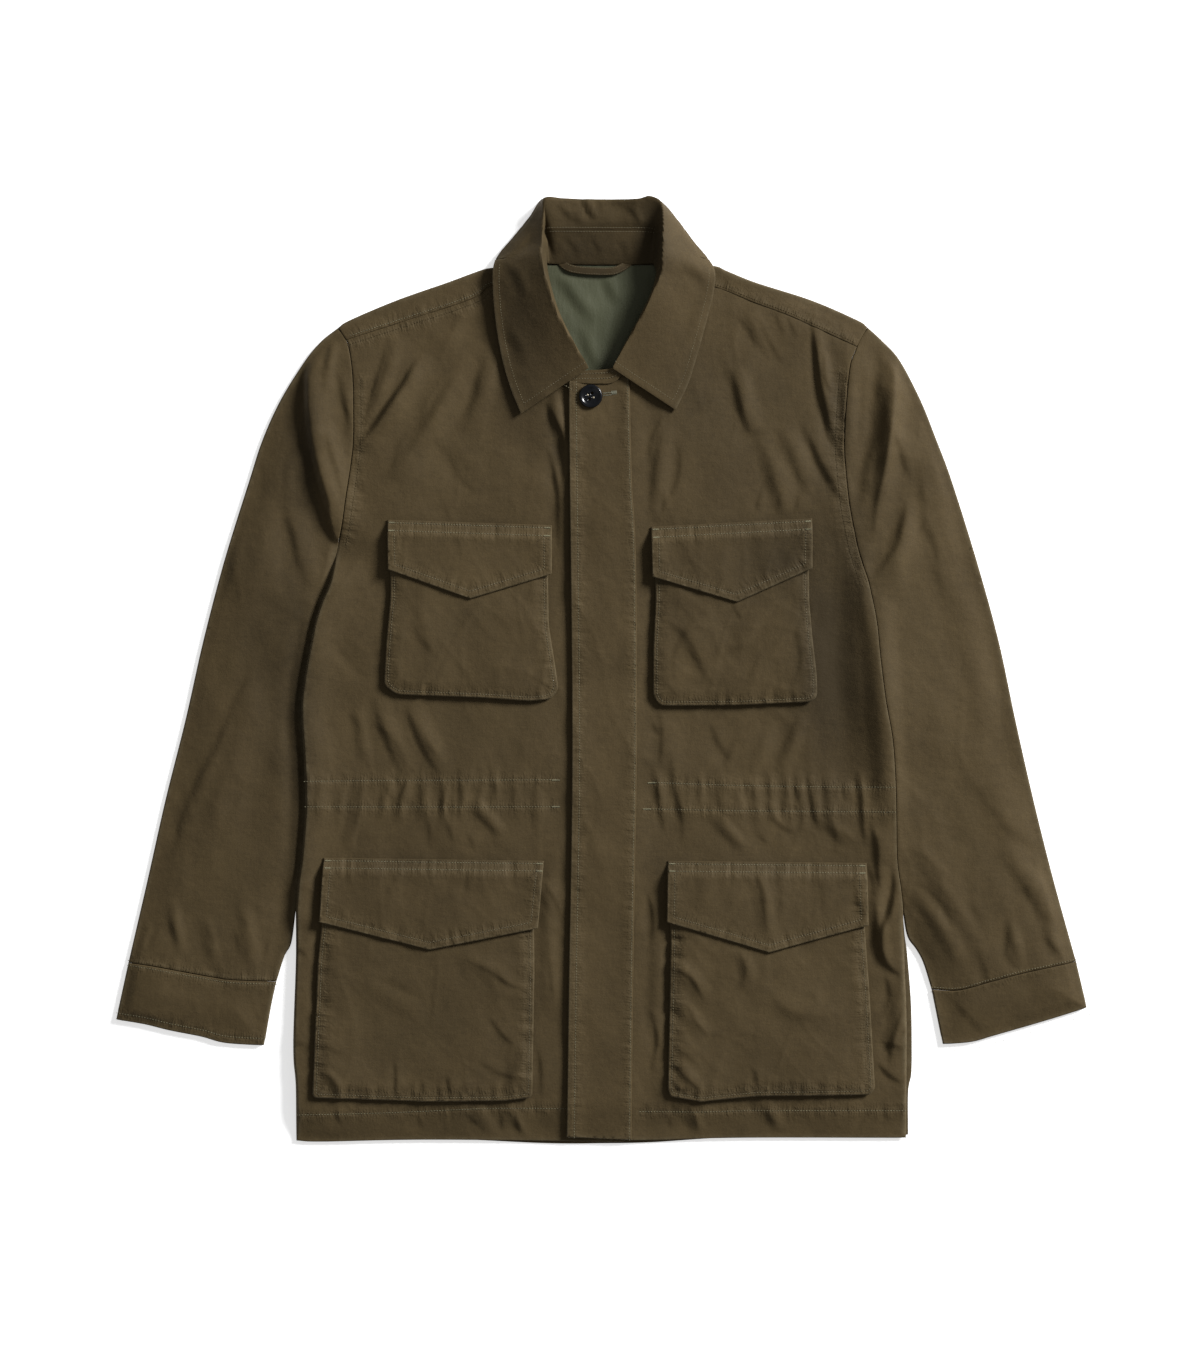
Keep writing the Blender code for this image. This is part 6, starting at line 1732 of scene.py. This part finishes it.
def buildLoop():
    look, rows = loopLook, np.array(loopRows, float)
    line = evenly(through(rows, np.linspace(0, len(rows) - 1, 80)), 0, 60)
    side = np.column_stack([leftOf(unit(np.gradient(line, axis=0)[:, :2])), np.zeros(len(line))])
    grid = [line + side * look["half"] * place + np.array([0, 0, look["belly"] * (1 - place ** 2)])
            for place in np.linspace(-1, 1, 7)]
    for off in look["rows"]:
        sewSolid("collarStitches", line[5:-5] + side[5:-5] * off + (0, 0, look["above"]),
                 np.tile(skyward, (len(line) - 10, 1)), look["pitch"], look["length"])
    grid = np.array(grid).transpose(1, 0, 2)
    return gridPiece("hangerLoopBand", grid, "hanger_loop", look["wall"], None, look["edge"])


buttonLook = {
    "at": (-9.4, 238.6), "segments": 96, "turn": 20.0,
    "holeRadius": 1.2, "holeTaper": 1.12, "holeOffset": 2.9, "holeSegments": 28,
    "threads": (-0.42, 0.0, 0.42), "threadLevel": 1.8, "threadHalf": 0.95,
    "profile": ((0, 0), (8.4, 0), (9.4, 0.25), (10.0, 0.9), (10.2, 1.55), (10.1, 2.1), (9.75, 2.62),
                (9.2, 2.92), (8.6, 3.0), (8.0, 2.86), (7.4, 2.5), (6.8, 2.12), (6.0, 1.86), (4.6, 1.72),
                (2.4, 1.64), (0, 1.62)),
}


def buildButton(placketTop):
    look = buttonLook
    x, y = look["at"]
    around = np.array([(x + 8 * math.cos(a), y + 8 * math.sin(a)) for a in np.linspace(0, math.tau, 24)])
    base = max(placketTop(around).max() + 0.1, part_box("button")[0].z / mm)
    shape = bmesh.new()
    line = [shape.verts.new(Vector((r, 0, z)) * mm) for r, z in look["profile"]]
    edges = [shape.edges.new(pair) for pair in zip(line, line[1:])]
    bmesh.ops.spin(shape, geom=line + edges, axis=(0, 0, 1), cent=(0, 0, 0), steps=look["segments"],
                   angle=math.tau, use_duplicate=False)
    bmesh.ops.remove_doubles(shape, verts=shape.verts, dist=1e-6)
    bmesh.ops.recalc_face_normals(shape, faces=shape.faces)
    bmesh.ops.translate(shape, verts=shape.verts, vec=Vector((x, y, base)) * mm)
    mesh = bpy.data.meshes.new("topButton")
    shape.to_mesh(mesh)
    shape.free()
    mesh.materials.append(horn)
    mesh.shade_smooth()
    mesh.set_sharp_from_angle(angle=math.radians(50))
    button = placed(bpy.data.objects.new("topButton", mesh))
    holes = []
    for k in range(4):
        angle = math.radians(look["turn"] + 45 + 90 * k)
        holes.append((x + look["holeOffset"] * math.cos(angle), y + look["holeOffset"] * math.sin(angle)))
    tool, radius = bmesh.new(), look["holeRadius"]
    for cx, cy in holes:
        made = bmesh.ops.create_cone(tool, cap_ends=True, segments=look["holeSegments"], radius1=radius * mm,
                                     radius2=radius * look["holeTaper"] * mm, depth=12 * mm)
        bmesh.ops.translate(tool, verts=made["verts"], vec=Vector((cx, cy, base)) * mm)
    toolMesh = bpy.data.meshes.new("drill")
    tool.to_mesh(toolMesh)
    tool.free()
    drill = placed(bpy.data.objects.new("drill", toolMesh))
    cut = button.modifiers.new("holes", "BOOLEAN")
    cut.object, cut.operation, cut.solver = drill, "DIFFERENCE", "EXACT"
    depsgraph = bpy.context.evaluated_depsgraph_get()
    button.data = bpy.data.meshes.new_from_object(button.evaluated_get(depsgraph))
    button.modifiers.clear()
    bpy.data.objects.remove(drill, do_unlink=True)
    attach(button, "root")
    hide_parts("button")
    # the thread shows in two of the four holes
    for hole in (holes[1], holes[3]):
        way = (np.array(hole) - (x, y)) / look["holeOffset"]
        for off in look["threads"]:
            place = np.array([x, y]) + way * (look["holeOffset"] - 0.1) + np.array([-way[1], way[0]]) * off
            middle = np.r_[place, base + look["threadLevel"]]
            along = np.r_[way * look["threadHalf"], 0.0]
            sewn.setdefault("buttonThread", []).append((middle[None], along[None], skyward[None]))


def buildFloor():
    mesh = bpy.data.meshes.new("floor")
    half, cells = studio["floorHalf"], studio["floorCells"]
    points = [((i / cells - 0.5) * 2 * half, (j / cells - 0.5) * 2 * half, studio["floorLevel"])
              for i in range(cells + 1) for j in range(cells + 1)]
    row = cells + 1
    faces = [(i * row + j, (i + 1) * row + j, (i + 1) * row + j + 1, i * row + j + 1)
             for i in range(cells) for j in range(cells)]
    mesh.from_pydata(points, [], faces)
    floor = placed(bpy.data.objects.new("floor", mesh))
    paint = Paint("paleFloor", {"Specular IOR Level": 0.1, "Emission Color": (1, 1, 1, 1),
                                "Emission Strength": studio["floorGlow"]})
    soft = paint.noise(220.0, 2.0)
    colour = paint.mix(soft * 0.5, (0.90, 0.90, 0.90, 1), (0.925, 0.925, 0.925, 1))
    mesh.materials.append(paint.finish(colour, 0.85 + 0.1 * soft, soft, 0.01, 0.05))


def buildStudio():
    camera = placed(bpy.data.objects.new("camera", bpy.data.cameras.new("camera")))
    camera.data.lens, camera.data.sensor_width = studio["lens"], studio["sensor"]
    camera.data.clip_end = 50.0
    away = studio["down"] / 2 * studio["lens"] / (studio["sensor"] / 2) + studio["clothLevel"]
    camera.location = Vector((*studio["middle"], away)) * mm
    scene.camera = camera
    for name in ("key", "fill"):
        light = bpy.data.lights.new(name, "AREA")
        light.shape, light.size, light.energy = "DISK", studio[name + "Size"], studio[name + "Power"]
        lamp = placed(bpy.data.objects.new(name, light))
        lamp.location = studio[name + "At"]
        lamp.rotation_euler = (-Vector(studio[name + "At"])).to_track_quat("-Z", "Y").to_euler()
    world = bpy.data.worlds.new("studio")
    world.use_nodes = True
    sky = world.node_tree.nodes["Background"]
    sky.inputs["Color"].default_value = (1, 1, 1, 1)
    sky.inputs["Strength"].default_value = studio["skyStrength"]
    scene.world = world
    scene.view_settings.view_transform = "Standard"
    scene.view_settings.look = "None"


def buildHoleAndTacks(placketTop, rightTop, leftTop):
    # start, end, width and pitch of the buttonhole's two sides and end block
    for start, end, wide, pitch in (((1.5, 241.2), (8.4, 241.8), 1.3, 0.75),
                                    ((1.5, 239.2), (8.4, 239.8), 1.1, 0.75),
                                    ((8.8, 241.6), (13.0, 242.0), 4.2, 0.62)):
        barTack("buttonholeThread", start, end, placketTop, wide, pitch)
    for x, y, long, top in ((-43.0, -95.0, 6.5, rightTop), (-43.0, -118.2, 6.5, rightTop),
                            (40.5, -97.4, 6.0, leftTop), (36.5, -120.2, 6.0, leftTop)):
        barTack("frontStitches", (x, y), (x + long, y), top, 1.7)


print("camera, light and floor")
buildStudio()
buildFloor()
print("fronts, placket and back")
rightFront, rightTop = buildRightFront()
leftFront, leftTop = buildLeftFront()
placket, placketTop = buildPlacket(leftTop)
back = buildBack()
print("pockets")
bagsAndFlaps = {}
for k, name in enumerate(pockets):
    under = leftTop if name.startswith("left") else rightTop
    bagsAndFlaps[name] = buildPocket(name, under, 1000 + 100 * k)
print("sleeves and cuffs")
rightSleeve, leftSleeve = buildSleeve("right", 900), buildSleeve("left", 920)
rightCuff, leftCuff = buildCuff("right", 950), buildCuff("left", 970)
print("collar, lining and loop")
collarFall, collarStand = buildCollar()
lining = buildLining()
loop = buildLoop()
print("button, buttonhole and stitches")
buildButton(placketTop)
buildHoleAndTacks(placketTop, rightTop, leftTop)
for group in list(sewn):
    makeStitches(group)

# What each piece was cut to before sewing, in metres: size, area, how it is held and on what.
cuts = (
    (rightFront, (0.300, 0.770), 0.205, "laid", ["back"]),
    (leftFront, (0.300, 0.770), 0.210, "laid", ["front_right"]),
    (placket, (0.062, 0.680), 0.042, "laid", ["front_left"]),
    (back, (0.560, 0.810), 0.420, "laid", []),
    (rightSleeve, (0.400, 0.620), 0.122, "laid", []),
    (leftSleeve, (0.400, 0.620), 0.126, "laid", []),
    (rightCuff, (0.290, 0.060), 0.0170, "laid", []),
    (leftCuff, (0.290, 0.060), 0.0160, "laid", []),
    (collarFall, (0.470, 0.085), 0.0280, "folded", ["back"]),
    (collarStand, (0.400, 0.030), 0.0056, "laid", ["back"]),
    (lining, (0.120, 0.125), 0.0115, "laid", ["back"]),
    (loop, (0.068, 0.010), 0.0004, "laid", ["lining"]),
)


def areaOf(piece):
    return sum(face.area for face in piece.data.polygons)


for piece, size, area, held, on in cuts:
    print(f"{piece.name}: drawn {areaOf(piece):.4f}, cut {area:.4f}, faces {len(piece.data.polygons)}")
    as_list(on)
for name, (bag, flap) in bagsAndFlaps.items():
    low = name.endswith("Hip")
    side = "left" if name.startswith("left") else "right"
    bagSize, flapSize = ((0.215, 0.225), (0.195, 0.085)) if low else ((0.165, 0.160), (0.150, 0.080))
    bothSheets = ((bag, bagSize, ["front_" + side]), (flap, flapSize, [cadName(name, "pocket")]))
    for piece, size, on in bothSheets:
        print(f"{piece.name}: drawn {areaOf(piece):.4f}, faces {len(piece.data.polygons)}")
        size[0] * size[1] * 0.92
        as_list(on)
